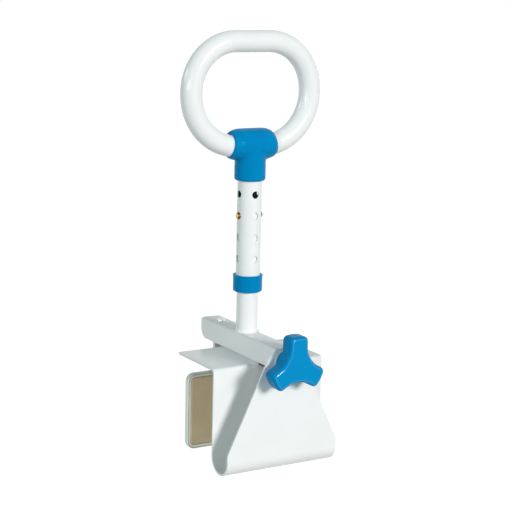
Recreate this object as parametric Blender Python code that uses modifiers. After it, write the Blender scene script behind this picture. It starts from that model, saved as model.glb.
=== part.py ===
# Bath safety rail: a clamp for the rim of a bathtub with a height-adjustable ring handle.
# Frame: X runs from the inside of the tub (-) to the knob outside (+), Y along the tub's wall, Z up.
# The origin lies under the rim pad, where the clamp rests on the rim, on the stem's axis.
# All lengths are metres.

import math

import bmesh
import bpy
from mathutils import Matrix, Vector

# Fits
GAP = 0.0003                    # between pieces that touch
BORE_GAP = 0.0003               # round a shank, tube or shaft in its hole

# Folded clamp bracket
SHEET = 0.0025
BRACKET_WIDTH = 0.146
FLANGE_BACK_X = -0.035          # free edge of the flange that lies on the rim
FLANGE_CORNER = 0.003
BACK_PLATE_X = 0.0528           # face of the back plate towards the knob
BEND_RADIUS = 0.0045            # outer radius where the flange turns down
U_RADIUS = 0.0189               # outer radius of the bottom fold
BRACKET_DROP = 0.1179           # from the flange's underside to the bottom of the fold
FRONT_RISE = 0.0280             # from the flange's underside to the top of the front plate
FRONT_TOP_WIDTH = 0.034         # between the front plate's sides, extended to its top
FRONT_TOP_RADIUS = 0.020
FRONT_TAPER_DEPTH = 0.0900      # below the flange's underside, where the taper starts

# Rubber pads of the bracket
RIM_PAD_THICK = 0.0017
RIM_PAD_INSET = 0.008
OUTER_PAD_THICK = 0.004
OUTER_PAD_INSET = 0.018
OUTER_PAD_TOP = 0.018           # below the flange's underside
OUTER_PAD_HEIGHT = 0.075
PAD_CORNER = 0.006

# Sliding beam, a channel open below
BEAM_WIDTH = 0.0254
BEAM_HEIGHT = 0.0252
BEAM_WALL = 0.002
BEAM_BACK_X = -0.0883
BEAM_EDGE = 0.003               # rounding of the upper edges
BEAM_TAIL_RADIUS = 0.012        # rounding of the side walls' lower back corner

# Clamp screw, knob and nut
SCREW_RISE = 0.0100             # screw axis above the flange's top
SCREW_RADIUS = 0.005
SCREW_TIP_X = 0.020
SCREW_CHAMFER = 0.001
HEX_FLATS = 0.016
SCREW_HEAD_THICK = 0.0064
NUT_THICK = 0.008
NUT_PLATE_THICK = 0.003
NUT_PLATE_SETBACK = 0.0033      # from the beam's front end
WASHER_THICK = 0.0022
WASHER_RADIUS = 0.0147
CLIP_THICK = 0.0012
CLIP_RADIUS = 0.0085
CLIP_GROOVE = 0.001             # depth of the clip's groove in the screw
CLIP_MOUTH = 70.0               # degrees, opening of the clip
HUB_RADIUS = 0.0142
HUB_LENGTH = 0.0087
KNOB_THICK = 0.0194
KNOB_REACH = 0.0337             # from the axis to a lobe's tip
KNOB_LOBE_WIDTH = 0.023
KNOB_TIP_RADIUS = 0.0055
KNOB_VALLEY_RADIUS = 0.0266
KNOB_EDGE = 0.0025
KNOB_LOBES = 3

# Guide block on the flange, inside the beam
GUIDE_BACK_X = -0.025
GUIDE_LENGTH = 0.035
GUIDE_HEIGHT = 0.012
GUIDE_CORNER = 0.001
GUIDE_RIVET_RADIUS = 0.002
GUIDE_HEAD_RADIUS = 0.0036
GUIDE_HEAD_THICK = 0.001
GUIDE_RIVET_INSET = 0.008

# Jaw that hangs from the beam inside the tub
HANGER_X = -0.060
HANGER_THICK = 0.0048
HANGER_HEAD_LENGTH = 0.014
HANGER_HEAD_HEIGHT = 0.012
HANGER_FOOT = 0.010             # from the jaw's lower edge up to the hanger's end
HANGER_RIVET_RADIUS = 0.003
HANGER_RIVET_HEAD = 0.00525
HANGER_RIVET_DOME = 0.0013
HANGER_RIVET_LENGTH = 0.0115
JAW_WIDTH = 0.102
JAW_HEIGHT = 0.0944
JAW_TOP_Z = -0.0296
JAW_DEPTH = 0.0083
JAW_SKIN = 0.0015
JAW_RIM = 0.0032                # width of the pan's rim
JAW_CORNER = 0.010
JAW_EDGE = 0.0012
JAW_PAD_PROUD = 0.0002          # how far the pad stands out of the pan
JAW_PAD_EDGE = 0.001
JAW_RIVET_RADIUS = 0.0025
JAW_RIVET_HEAD = 0.005
JAW_RIVET_HEAD_THICK = 0.0015
JAW_RIVET_INSET = 0.024         # from the jaw's upper and lower edges

# Telescopic stem
LOWER_RADIUS = 0.0127
LOWER_WALL = 0.0015
WELD_FLARE = 0.002
WELD_HEIGHT = 0.0025
UPPER_RADIUS = 0.0143
UPPER_WALL = 0.0012
UPPER_LENGTH = 0.153
HOLE_RADIUS = 0.0043
HOLE_PITCH = 0.0254
HOLE_ROWS = 4
ROWS_ABOVE_BUTTON = 1
BUTTON_RISE = 0.1394            # from the beam's top to the buttons
LOWER_END = 0.0127              # lower stem above the buttons
COLLAR_RADIUS = 0.0173
COLLAR_HEIGHT = 0.020
COLLAR_LIP = 0.0004
COLLAR_LIP_HEIGHT = 0.002
COLLAR_SEAT = 0.003             # upper stem's end above the collar's lower edge
COLLAR_EDGE = 0.002

# Snap buttons and their leaf spring
BUTTON_RADIUS = 0.004
BUTTON_PROUD = 0.0023           # beyond the upper stem
BUTTON_DOME = 0.0022
BUTTON_FOOT_RADIUS = 0.005
BUTTON_FOOT_THICK = 0.001
SPRING_THICK = 0.0006
SPRING_WIDTH = 0.007
SPRING_DROP = 0.040             # from the buttons to the spring's bend
SPRING_BEND = 0.003
SPRING_ABOVE = 0.004

# Tee that joins the stem and the ring
SLEEVE_RADIUS = 0.0183
SLEEVE_BELOW_RING = 0.0402      # from the ring's axis to the sleeve's lower edge
SLEEVE_EDGE = 0.003
TEE_MIDDLE_RADIUS = 0.0188
TEE_MOUTH_RADIUS = 0.0153
TEE_RAISE = 0.0013              # the tee's outside stands higher than the ring's axis
TEE_FULLNESS = 5                # higher numbers keep the tee thick closer to its mouths
TEE_HALF_WIDTH = 0.0283
TEE_WEB = 0.0023                # between the stem's bore and the ring's bore

# Ring handle
RING_ABOVE_HOLES = 0.0558       # from the top row of holes to the ring's axis under its middle
RING_TUBE = 0.0127
RING_WALL = 0.0012
RING_HALF_WIDTH = 0.0787        # to the tube's centreline
RING_TOP_RADIUS = 0.057
RING_SIDE = 0.002
RING_LOWER_RADIUS = 0.061
RING_ENDS_APART = 0.004

# Self-tapping screws at the back of the tee
TAPPER_RADIUS = 0.002
TAPPER_HEAD = 0.0035
TAPPER_HEAD_THICK = 0.002
TAPPER_SINK = 0.003             # from the tee's surface to the seat under the head
TAPPER_PAST = 0.004             # past the tube's wall
RING_SCREW_Y = 0.011
SLEEVE_SCREW_RISE = 0.012       # above the sleeve's lower edge

# Worked out from the sizes above
FLANGE_Z = RIM_PAD_THICK + GAP
FLANGE_TOP = FLANGE_Z + SHEET
FRONT_PLATE_X = BACK_PLATE_X - SHEET + 2 * U_RADIUS
FRONT_BACK_X = FRONT_PLATE_X - SHEET
U_CENTRE_X = BACK_PLATE_X - SHEET + U_RADIUS
U_CENTRE_Z = FLANGE_Z - BRACKET_DROP + U_RADIUS
FRONT_TOP_Z = FLANGE_Z + FRONT_RISE
BEAM_BOTTOM = FLANGE_TOP + GAP
BEAM_TOP = BEAM_BOTTOM + BEAM_HEIGHT
BEAM_FRONT_X = FRONT_BACK_X - GAP
BEAM_INNER_WIDTH = BEAM_WIDTH - 2 * BEAM_WALL
BEAM_CEILING = BEAM_TOP - BEAM_WALL
SCREW_Z = FLANGE_TOP + SCREW_RISE
WASHER_X = FRONT_PLATE_X + GAP
HUB_X = WASHER_X + WASHER_THICK + GAP
LOBES_X = HUB_X + HUB_LENGTH
CLIP_X = FRONT_BACK_X - GAP - CLIP_THICK
NUT_PLATE_X = BEAM_FRONT_X - NUT_PLATE_SETBACK - NUT_PLATE_THICK
NUT_X = NUT_PLATE_X - GAP - NUT_THICK
HANGER_WIDTH = BEAM_INNER_WIDTH - 2 * GAP
HANGER_FRONT_X = HANGER_X + HANGER_THICK / 2
JAW_X = HANGER_FRONT_X + GAP
JAW_FRONT_X = JAW_X + JAW_DEPTH
JAW_PAD_X = JAW_X + JAW_SKIN + GAP
JAW_PAD_FRONT_X = JAW_FRONT_X + JAW_PAD_PROUD
LOWER_BOTTOM = BEAM_TOP + GAP
BUTTON_Z = BEAM_TOP + BUTTON_RISE
LOWER_TOP = BUTTON_Z + LOWER_END
TOP_ROW_Z = BUTTON_Z + ROWS_ABOVE_BUTTON * HOLE_PITCH
RING_Z = TOP_ROW_Z + RING_ABOVE_HOLES
SLEEVE_BOTTOM = RING_Z - SLEEVE_BELOW_RING
UPPER_TOP = RING_Z - RING_TUBE - BORE_GAP - TEE_WEB - GAP
UPPER_BOTTOM = UPPER_TOP - UPPER_LENGTH
COLLAR_BOTTOM = UPPER_BOTTOM - COLLAR_SEAT
RING_LOWER_CENTRE_Y = RING_HALF_WIDTH - RING_LOWER_RADIUS
RING_TOP_CENTRE_Y = RING_HALF_WIDTH - RING_TOP_RADIUS
RING_LOWER_CENTRE_Z = RING_Z + RING_LOWER_RADIUS
RING_TOP_CENTRE_Z = RING_LOWER_CENTRE_Z + RING_SIDE

# Directions for flat outlines and turned shapes
FACING_X = (math.pi / 2, 0.0, math.pi / 2)   # outline's x, y lie along world Y, Z
FACING_Y = (math.pi / 2, 0.0, 0.0)           # outline's x, y lie along world X, Z
FACING_Z = (0.0, 0.0, 0.0)
ALONG_X = (0.0, math.pi / 2, 0.0)            # a turned shape's axis along world X
ALONG_Y = (-math.pi / 2, 0.0, 0.0)

ROUND_STEPS = 32
SMALL_STEPS = 16
ARC_STEPS = 5
TUBE_SIDES = 16
TEE_SIDES = 20
PAST = 0.0025                                # reach of a cutter past a piece's surface
FAR = 0.5                                    # reach of a cutter past the whole model


# Scene, collections and materials

for leftover in list(bpy.data.objects):
    bpy.data.objects.remove(leftover, do_unlink=True)

parts = bpy.data.collections.new("bath_safety_rail")
cutters = bpy.data.collections.new("cutters")
bpy.context.scene.collection.children.link(parts)
bpy.context.scene.collection.children.link(cutters)


def material(name, colour, roughness, metallic=0.0):
    made = bpy.data.materials.new(name)
    made.use_nodes = True
    shader = made.node_tree.nodes["Principled BSDF"]
    shader.inputs["Base Color"].default_value = (*colour, 1.0)
    shader.inputs["Roughness"].default_value = roughness
    shader.inputs["Metallic"].default_value = metallic
    made.diffuse_color = (*colour, 1.0)
    return made


WHITE_PAINT = material("white_paint", (0.85, 0.87, 0.86), 0.30)
BLUE_PLASTIC = material("blue_plastic", (0.003, 0.26, 0.56), 0.35)
TAN_RUBBER = material("tan_rubber", (0.34, 0.28, 0.18), 0.75)
BLACK_RUBBER = material("black_rubber", (0.02, 0.02, 0.02), 0.80)
NYLON = material("nylon", (0.80, 0.80, 0.76), 0.45)
ZINC = material("zinc_plate", (0.62, 0.63, 0.64), 0.30, 1.0)
SPRING_STEEL = material("spring_steel", (0.35, 0.36, 0.38), 0.35, 1.0)
BRASS = material("brass", (0.78, 0.55, 0.20), 0.25, 1.0)


def place(thing, location=(0, 0, 0), rotation=FACING_Z, collection=parts):
    thing.location = location
    thing.rotation_euler = rotation
    collection.objects.link(thing)
    return thing


def finish(thing, name, surface):
    """Name a piece and give it its material."""
    thing.name = name
    thing.data.name = name
    thing.data.materials.clear()
    thing.data.materials.append(surface)
    return thing


def as_cutter(thing):
    """Move an object that only shapes others out of the model's collection."""
    if parts in thing.users_collection:
        parts.objects.unlink(thing)
        cutters.objects.link(thing)
    thing.hide_render = True
    thing.display_type = "WIRE"
    return thing


def smooth(mesh, angle=35.0):
    mesh.shade_smooth()
    mesh.set_sharp_from_angle(angle=math.radians(angle))


# Outlines

def arc(centre, radius, start, end, steps=ARC_STEPS):
    """Points on an arc, angles in degrees, both ends included."""
    angles = [math.radians(start + (end - start) * k / steps) for k in range(steps + 1)]
    return [(centre[0] + radius * math.cos(a), centre[1] + radius * math.sin(a)) for a in angles]


def rounded(corners, steps=ARC_STEPS):
    """Closed outline from (x, y, radius) corners, each turned by an arc of its radius."""
    points = []
    count = len(corners)
    for k in range(count):
        corner = Vector(corners[k][:2])
        radius = corners[k][2]
        before = (Vector(corners[k - 1][:2]) - corner).normalized()
        after = (Vector(corners[(k + 1) % count][:2]) - corner).normalized()
        half = before.angle(after) / 2
        if radius <= 0.0:
            points.append(tuple(corner))
            continue
        middle = corner + (before + after).normalized() * radius / math.sin(half)
        first = corner + before * radius / math.tan(half) - middle
        last = corner + after * radius / math.tan(half) - middle
        turn = math.atan2(first.x * last.y - first.y * last.x, first.dot(last))
        for step in range(steps + 1):
            ray = first.copy()
            ray.rotate(Matrix.Rotation(turn * step / steps, 2))
            points.append(tuple(middle + ray))
    return points


def rectangle(x0, x1, y0, y1, radius=0.0):
    return rounded([(x0, y0, radius), (x1, y0, radius), (x1, y1, radius), (x0, y1, radius)])


def circle(radius, steps=ROUND_STEPS, centre=(0.0, 0.0)):
    return arc(centre, radius, 0.0, 360.0 * (steps - 1) / steps, steps - 1)


# Shapes

def to_mesh(curve_object):
    """Replace a curve object by a welded mesh object in the same place."""
    bpy.context.view_layer.update()
    depsgraph = bpy.context.evaluated_depsgraph_get()
    mesh = bpy.data.meshes.new_from_object(curve_object.evaluated_get(depsgraph))
    shape = bmesh.new()
    shape.from_mesh(mesh)
    bmesh.ops.remove_doubles(shape, verts=shape.verts, dist=1e-6)
    bmesh.ops.recalc_face_normals(shape, faces=shape.faces)
    shape.to_mesh(mesh)
    shape.free()
    solid = bpy.data.objects.new(curve_object.name, mesh)
    solid.matrix_world = curve_object.matrix_world
    for owner in curve_object.users_collection:
        owner.objects.link(solid)
    bpy.data.objects.remove(curve_object)
    smooth(mesh)
    return solid


def plate(outlines, thickness, location=(0, 0, 0), rotation=FACING_Z, edge=0.0):
    """Flat piece from closed outlines, inner ones being holes; location is its middle plane."""
    curve = bpy.data.curves.new("plate", "CURVE")
    curve.dimensions = "2D"
    curve.fill_mode = "BOTH"
    curve.extrude = thickness / 2 - edge
    curve.bevel_depth = edge
    curve.offset = -edge
    curve.bevel_resolution = 1
    for outline in outlines:
        spline = curve.splines.new("POLY")
        spline.points.add(len(outline) - 1)
        spline.use_cyclic_u = True
        for point, (x, y) in zip(spline.points, outline):
            point.co = (x, y, 0.0, 1.0)
    return to_mesh(place(bpy.data.objects.new("plate", curve), location, rotation))


def turned(profile, location=(0, 0, 0), rotation=FACING_Z, closed=False, steps=ROUND_STEPS):
    """Turned piece from (radius, height) points that run down its outer side."""
    mesh = bpy.data.meshes.new("turned")
    count = len(profile)
    links = [(k, k + 1) for k in range(count - 1)]
    if closed:
        links.append((count - 1, 0))
    mesh.from_pydata([(radius, 0.0, height) for radius, height in profile], links, [])
    thing = place(bpy.data.objects.new("turned", mesh), location, rotation)
    screw = thing.modifiers.new("turn", "SCREW")
    screw.steps = steps
    screw.render_steps = steps
    screw.use_merge_vertices = not closed
    screw.merge_threshold = 1e-6
    screw.use_smooth_shade = True
    return thing


def ring_turned(inner, outer, low, high, **places):
    """Tube or washer with square edges."""
    return turned([(outer, high), (outer, low), (inner, low), (inner, high)], closed=True, **places)


def rod(radius, low, high, steps=SMALL_STEPS, **places):
    return turned([(0.0, high), (radius, high), (radius, low), (0.0, low)], steps=steps, **places)


def swept(points, radii, sides, capped=True):
    """Round bar along world points, with a radius at each point."""
    curve = bpy.data.curves.new("swept", "CURVE")
    curve.dimensions = "3D"
    curve.bevel_depth = 1.0
    curve.bevel_resolution = sides // 2 - 2
    curve.use_fill_caps = capped
    spline = curve.splines.new("POLY")
    spline.points.add(len(points) - 1)
    for point, place_at, radius in zip(spline.points, points, radii):
        point.co = (*place_at, 1.0)
        point.radius = radius
    return to_mesh(place(bpy.data.objects.new("swept", curve)))


def folded(path, width, thickness, rotation=FACING_Y):
    """Sheet bent along a path of (x, y) points on its middle surface, centred across its width."""
    shape = bmesh.new()
    row = [shape.verts.new((x, y, -width / 2)) for x, y in path]
    edges = [shape.edges.new(pair) for pair in zip(row, row[1:])]
    grown = bmesh.ops.extrude_edge_only(shape, edges=edges)["geom"]
    far_row = [item for item in grown if isinstance(item, bmesh.types.BMVert)]
    bmesh.ops.translate(shape, verts=far_row, vec=(0.0, 0.0, width))
    mesh = bpy.data.meshes.new("folded")
    shape.to_mesh(mesh)
    shape.free()
    smooth(mesh)
    thing = place(bpy.data.objects.new("folded", mesh), rotation=rotation)
    sheet = thing.modifiers.new("thickness", "SOLIDIFY")
    sheet.thickness = thickness
    sheet.offset = 0.0
    sheet.use_even_offset = True
    return thing


def combine(thing, other, operation):
    step = thing.modifiers.new(operation.lower(), "BOOLEAN")
    step.operation = operation
    step.object = as_cutter(other)
    step.solver = "EXACT"
    return thing


def cut(thing, *others):
    for other in others:
        combine(thing, other, "DIFFERENCE")
    return thing


def join(thing, *others):
    for other in others:
        combine(thing, other, "UNION")
    return thing


# Clamp bracket and its pads

def front_plate_outline():
    """Front plate seen along X: full width below, tapering to a rounded top."""
    half = BRACKET_WIDTH / 2
    top = FRONT_TOP_WIDTH / 2
    taper_z = FLANGE_Z - FRONT_TAPER_DEPTH
    below = FLANGE_Z - BRACKET_DROP - FAR
    return rounded([
        (-half - GAP, below, 0.0),
        (half + GAP, below, 0.0),
        (half + GAP, taper_z, 0.0),
        (top, FRONT_TOP_Z, FRONT_TOP_RADIUS),
        (-top, FRONT_TOP_Z, FRONT_TOP_RADIUS),
        (-half - GAP, taper_z, 0.0),
    ])


def make_clamp_bracket():
    middle = SHEET / 2
    bend = BEND_RADIUS - middle
    bend_centre = (BACK_PLATE_X - BEND_RADIUS, FLANGE_TOP - BEND_RADIUS)
    path = [(FLANGE_BACK_X, FLANGE_Z + middle)]
    path += arc(bend_centre, bend, 90.0, 0.0)
    path += arc((U_CENTRE_X, U_CENTRE_Z), U_RADIUS - middle, 180.0, 360.0, 3 * ARC_STEPS)
    path += [(FRONT_PLATE_X - middle, FRONT_TOP_Z + GAP)]
    bracket = folded(path, BRACKET_WIDTH, SHEET)
    surround = rectangle(-FAR, FAR, -2 * FAR, FAR)
    front_trim = plate([surround, front_plate_outline()], 2 * U_RADIUS,
                       (U_CENTRE_X + U_RADIUS, 0, 0), FACING_X)
    half = BRACKET_WIDTH / 2 + GAP
    flange = rounded([(FLANGE_BACK_X - GAP, -half, FLANGE_CORNER), (FAR / 2, -half, 0.0),
                      (FAR / 2, half, 0.0), (FLANGE_BACK_X - GAP, half, FLANGE_CORNER)])
    corner_trim = plate([rectangle(-FAR, FAR, -FAR, FAR), flange], 2 * BEND_RADIUS, (0, 0, FLANGE_Z))
    screw_hole = rod(SCREW_RADIUS + BORE_GAP, FRONT_BACK_X - PAST, FRONT_PLATE_X + PAST,
                     location=(0, 0, SCREW_Z), rotation=ALONG_X)
    cut(bracket, front_trim, corner_trim, screw_hole)
    shank = GUIDE_RIVET_RADIUS + BORE_GAP
    head = GUIDE_HEAD_RADIUS + BORE_GAP
    seat = FLANGE_Z + GUIDE_HEAD_THICK + GAP
    for x in guide_rivet_places():
        cut(bracket, turned([
            (0.0, FLANGE_TOP + PAST), (shank, FLANGE_TOP + PAST), (shank, seat), (head, seat),
            (head, FLANGE_Z - PAST), (0.0, FLANGE_Z - PAST),
        ], (x, 0, 0), steps=SMALL_STEPS))
    return finish(bracket, "clamp_bracket", WHITE_PAINT)


def make_rim_pad():
    half = BRACKET_WIDTH / 2 - RIM_PAD_INSET
    outline = rectangle(FLANGE_BACK_X + RIM_PAD_INSET, BACK_PLATE_X - SHEET - RIM_PAD_INSET,
                        -half, half, PAD_CORNER)
    return finish(plate([outline], RIM_PAD_THICK, (0, 0, RIM_PAD_THICK / 2)), "rim_pad", BLACK_RUBBER)


def make_outer_pad():
    half = BRACKET_WIDTH / 2 - OUTER_PAD_INSET
    top = FLANGE_Z - OUTER_PAD_TOP
    outline = rectangle(-half, half, top - OUTER_PAD_HEIGHT, top, PAD_CORNER)
    middle_x = BACK_PLATE_X - SHEET - GAP - OUTER_PAD_THICK / 2
    return finish(plate([outline], OUTER_PAD_THICK, (middle_x, 0, 0), FACING_X), "outer_pad", BLACK_RUBBER)


# Guide block that keeps the beam straight

def guide_rivet_places():
    return (GUIDE_BACK_X + GUIDE_RIVET_INSET, GUIDE_BACK_X + GUIDE_LENGTH - GUIDE_RIVET_INSET)


def make_guide_block():
    half = BEAM_INNER_WIDTH / 2 - GAP
    outline = rectangle(GUIDE_BACK_X, GUIDE_BACK_X + GUIDE_LENGTH, -half, half, GUIDE_CORNER)
    block = plate([outline], GUIDE_HEIGHT, (0, 0, BEAM_BOTTOM + GUIDE_HEIGHT / 2))
    top = BEAM_BOTTOM + GUIDE_HEIGHT
    seat = top - GUIDE_HEAD_THICK - 2 * GAP
    shank = GUIDE_RIVET_RADIUS + BORE_GAP
    head = GUIDE_HEAD_RADIUS + BORE_GAP
    for x in guide_rivet_places():
        cut(block, turned([
            (0.0, top + PAST), (head, top + PAST), (head, seat), (shank, seat),
            (shank, BEAM_BOTTOM - PAST), (0.0, BEAM_BOTTOM - PAST),
        ], (x, 0, 0), steps=SMALL_STEPS))
    return finish(block, "guide_block", NYLON)


def make_guide_rivet(name, x):
    top = BEAM_BOTTOM + GUIDE_HEIGHT - GAP
    low = FLANGE_Z
    rivet = turned([
        (0.0, top), (GUIDE_HEAD_RADIUS, top), (GUIDE_HEAD_RADIUS, top - GUIDE_HEAD_THICK),
        (GUIDE_RIVET_RADIUS, top - GUIDE_HEAD_THICK), (GUIDE_RIVET_RADIUS, low + GUIDE_HEAD_THICK),
        (GUIDE_HEAD_RADIUS, low + GUIDE_HEAD_THICK), (GUIDE_HEAD_RADIUS, low), (0.0, low),
    ], (x, 0, 0), steps=SMALL_STEPS)
    return finish(rivet, name, ZINC)


# Sliding beam with its nut

def make_slide_beam():
    half = BEAM_WIDTH / 2
    inner = BEAM_INNER_WIDTH / 2
    length = BEAM_FRONT_X - BEAM_BACK_X
    middle_x = (BEAM_FRONT_X + BEAM_BACK_X) / 2
    section = rounded([(-half, BEAM_BOTTOM, 0.0), (half, BEAM_BOTTOM, 0.0),
                       (half, BEAM_TOP, BEAM_EDGE), (-half, BEAM_TOP, BEAM_EDGE)])
    beam = plate([section], length, (middle_x, 0, 0), FACING_X)
    side = rounded([(BEAM_BACK_X, BEAM_BOTTOM, BEAM_TAIL_RADIUS), (FAR, BEAM_BOTTOM, 0.0),
                    (FAR, BEAM_TOP, 0.0), (BEAM_BACK_X, BEAM_TOP, BEAM_EDGE)])
    surround = rectangle(-FAR, 2 * FAR, -FAR, FAR)
    tail_trim = plate([surround, side], 2 * BEAM_WIDTH, (0, 0, 0), FACING_Y)
    corner = BEAM_EDGE - BEAM_WALL
    hollow_section = rounded([(-inner, BEAM_BOTTOM - PAST, 0.0), (inner, BEAM_BOTTOM - PAST, 0.0),
                              (inner, BEAM_CEILING, corner), (-inner, BEAM_CEILING, corner)])
    hollow = plate([hollow_section], length, (middle_x + BEAM_WALL, 0, 0), FACING_X)
    rivet_hole = rod(HANGER_RIVET_RADIUS + BORE_GAP, BEAM_CEILING - PAST, BEAM_TOP + PAST,
                     location=(HANGER_X, 0, 0))
    cut(beam, tail_trim, hollow, rivet_hole)
    return finish(beam, "slide_beam", WHITE_PAINT)


def hexagon(spare=0.0):
    return arc((0, 0), (HEX_FLATS / 2 + spare) / math.cos(math.pi / 6), 0.0, 300.0, 5)


def make_nut_plate():
    half = BEAM_INNER_WIDTH / 2 - GAP
    outline = rectangle(-half, half, BEAM_BOTTOM + GAP, BEAM_CEILING - GAP, BEAM_EDGE - BEAM_WALL)
    hole = circle(SCREW_RADIUS + BORE_GAP, SMALL_STEPS, (0.0, SCREW_Z))
    piece = plate([outline, hole], NUT_PLATE_THICK, (NUT_PLATE_X + NUT_PLATE_THICK / 2, 0, 0), FACING_X)
    return finish(piece, "nut_plate", ZINC)


def make_beam_nut():
    nut = plate([hexagon(), circle(SCREW_RADIUS + BORE_GAP, SMALL_STEPS)], NUT_THICK,
                (NUT_X + NUT_THICK / 2, 0, SCREW_Z), FACING_X)
    return finish(nut, "beam_nut", ZINC)


# Jaw

def make_jaw_hanger():
    head_top = BEAM_CEILING - GAP
    head_bottom = head_top - HANGER_HEAD_HEIGHT
    foot = JAW_TOP_Z - JAW_HEIGHT + HANGER_FOOT
    half = HANGER_THICK / 2
    head_half = HANGER_HEAD_LENGTH / 2
    strap = rectangle(HANGER_X - half, HANGER_X + half, foot, head_bottom + GAP)
    head = rectangle(HANGER_X - head_half, HANGER_X + head_half, head_bottom, head_top)
    hanger = plate([strap], HANGER_WIDTH, (0, 0, 0), FACING_Y)
    join(hanger, plate([head], HANGER_WIDTH, (0, 0, 0), FACING_Y))
    bore_end = hanger_rivet_bottom() - GAP
    cut(hanger, rod(HANGER_RIVET_RADIUS + BORE_GAP, bore_end, BEAM_TOP, location=(HANGER_X, 0, 0)))
    for z in jaw_rivet_heights():
        cut(hanger, rod(JAW_RIVET_RADIUS + BORE_GAP, HANGER_X - half - PAST, HANGER_X + half + PAST,
                        location=(0, 0, z), rotation=ALONG_X))
    return finish(hanger, "jaw_hanger", WHITE_PAINT)


def hanger_rivet_bottom():
    return BEAM_TOP + GAP - HANGER_RIVET_LENGTH


def make_hanger_rivet():
    base = BEAM_TOP + GAP
    dome = [(HANGER_RIVET_HEAD * math.sin(a), base + HANGER_RIVET_DOME * math.cos(a))
            for a in [math.radians(d) for d in (0, 20, 40, 60, 75)]]
    profile = dome + [(HANGER_RIVET_HEAD, base), (HANGER_RIVET_RADIUS, base),
                      (HANGER_RIVET_RADIUS, hanger_rivet_bottom()), (0.0, hanger_rivet_bottom())]
    return finish(turned(profile, (HANGER_X, 0, 0), steps=SMALL_STEPS), "hanger_rivet", WHITE_PAINT)


def jaw_outline(inset):
    half = JAW_WIDTH / 2 - inset
    return rectangle(-half, half, JAW_TOP_Z - JAW_HEIGHT + inset, JAW_TOP_Z - inset, JAW_CORNER - inset)


def jaw_rivet_heights():
    return (JAW_TOP_Z - JAW_RIVET_INSET, JAW_TOP_Z - JAW_HEIGHT + JAW_RIVET_INSET)


def make_jaw_pan():
    pan = plate([jaw_outline(0.0)], JAW_DEPTH, (JAW_X + JAW_DEPTH / 2, 0, 0), FACING_X, JAW_EDGE)
    pocket = plate([jaw_outline(JAW_RIM)], JAW_DEPTH, (JAW_X + JAW_SKIN + JAW_DEPTH / 2, 0, 0), FACING_X)
    cut(pan, pocket)
    for z in jaw_rivet_heights():
        cut(pan, rod(JAW_RIVET_RADIUS + BORE_GAP, JAW_X - PAST, JAW_X + JAW_SKIN + PAST,
                     location=(0, 0, z), rotation=ALONG_X))
    return finish(pan, "jaw_pan", WHITE_PAINT)


def make_jaw_pad():
    thick = JAW_PAD_FRONT_X - JAW_PAD_X
    pad = plate([jaw_outline(JAW_RIM + GAP)], thick, (JAW_PAD_X + thick / 2, 0, 0), FACING_X, JAW_PAD_EDGE)
    pocket_end = JAW_X + JAW_SKIN + 2 * GAP + JAW_RIVET_HEAD_THICK
    for z in jaw_rivet_heights():
        cut(pad, rod(JAW_RIVET_HEAD + GAP, JAW_X, pocket_end, location=(0, 0, z), rotation=ALONG_X))
    return finish(pad, "jaw_pad", TAN_RUBBER)


def make_jaw_rivet(name, z):
    front = JAW_X + JAW_SKIN + GAP
    back = HANGER_X - HANGER_THICK / 2 - GAP
    rivet = turned([
        (0.0, front + JAW_RIVET_HEAD_THICK), (JAW_RIVET_HEAD, front + JAW_RIVET_HEAD_THICK),
        (JAW_RIVET_HEAD, front), (JAW_RIVET_RADIUS, front), (JAW_RIVET_RADIUS, back),
        (JAW_RIVET_HEAD, back), (JAW_RIVET_HEAD, back - JAW_RIVET_HEAD_THICK / 2),
        (JAW_RIVET_HEAD / 2, back - JAW_RIVET_HEAD_THICK), (0.0, back - JAW_RIVET_HEAD_THICK),
    ], (0, 0, z), ALONG_X, steps=SMALL_STEPS)
    return finish(rivet, name, ZINC)


# Clamp screw and knob

def make_clamp_screw():
    groove = SCREW_RADIUS - CLIP_GROOVE
    head_end = HUB_X + SCREW_HEAD_THICK
    shaft = turned([
        (0.0, head_end - GAP), (SCREW_RADIUS, head_end - GAP),
        (SCREW_RADIUS, CLIP_X + CLIP_THICK + GAP / 2), (groove, CLIP_X + CLIP_THICK + GAP / 2),
        (groove, CLIP_X - GAP / 2), (SCREW_RADIUS, CLIP_X - GAP / 2),
        (SCREW_RADIUS, SCREW_TIP_X + SCREW_CHAMFER), (SCREW_RADIUS - SCREW_CHAMFER, SCREW_TIP_X),
        (0.0, SCREW_TIP_X),
    ], (0, 0, SCREW_Z), ALONG_X, steps=SMALL_STEPS)
    head = plate([hexagon()], SCREW_HEAD_THICK, (HUB_X + SCREW_HEAD_THICK / 2, 0, SCREW_Z), FACING_X)
    return finish(join(shaft, head), "clamp_screw", ZINC)


def knob_outline():
    """Three lobes round the axis, one of them up, joined by hollow valleys."""
    half = KNOB_LOBE_WIDTH / 2
    valley = half / math.sin(math.pi / KNOB_LOBES)
    corners = []
    for lobe in range(KNOB_LOBES):
        aim = math.pi / 2 + 2 * math.pi * lobe / KNOB_LOBES
        along = Vector((math.cos(aim), math.sin(aim)))
        across = Vector((-math.sin(aim), math.cos(aim)))
        dip = aim + math.pi / KNOB_LOBES
        corners.append((*(along * KNOB_REACH - across * half), KNOB_TIP_RADIUS))
        corners.append((*(along * KNOB_REACH + across * half), KNOB_TIP_RADIUS))
        corners.append((valley * math.cos(dip), valley * math.sin(dip), KNOB_VALLEY_RADIUS))
    return rounded(corners)


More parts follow.
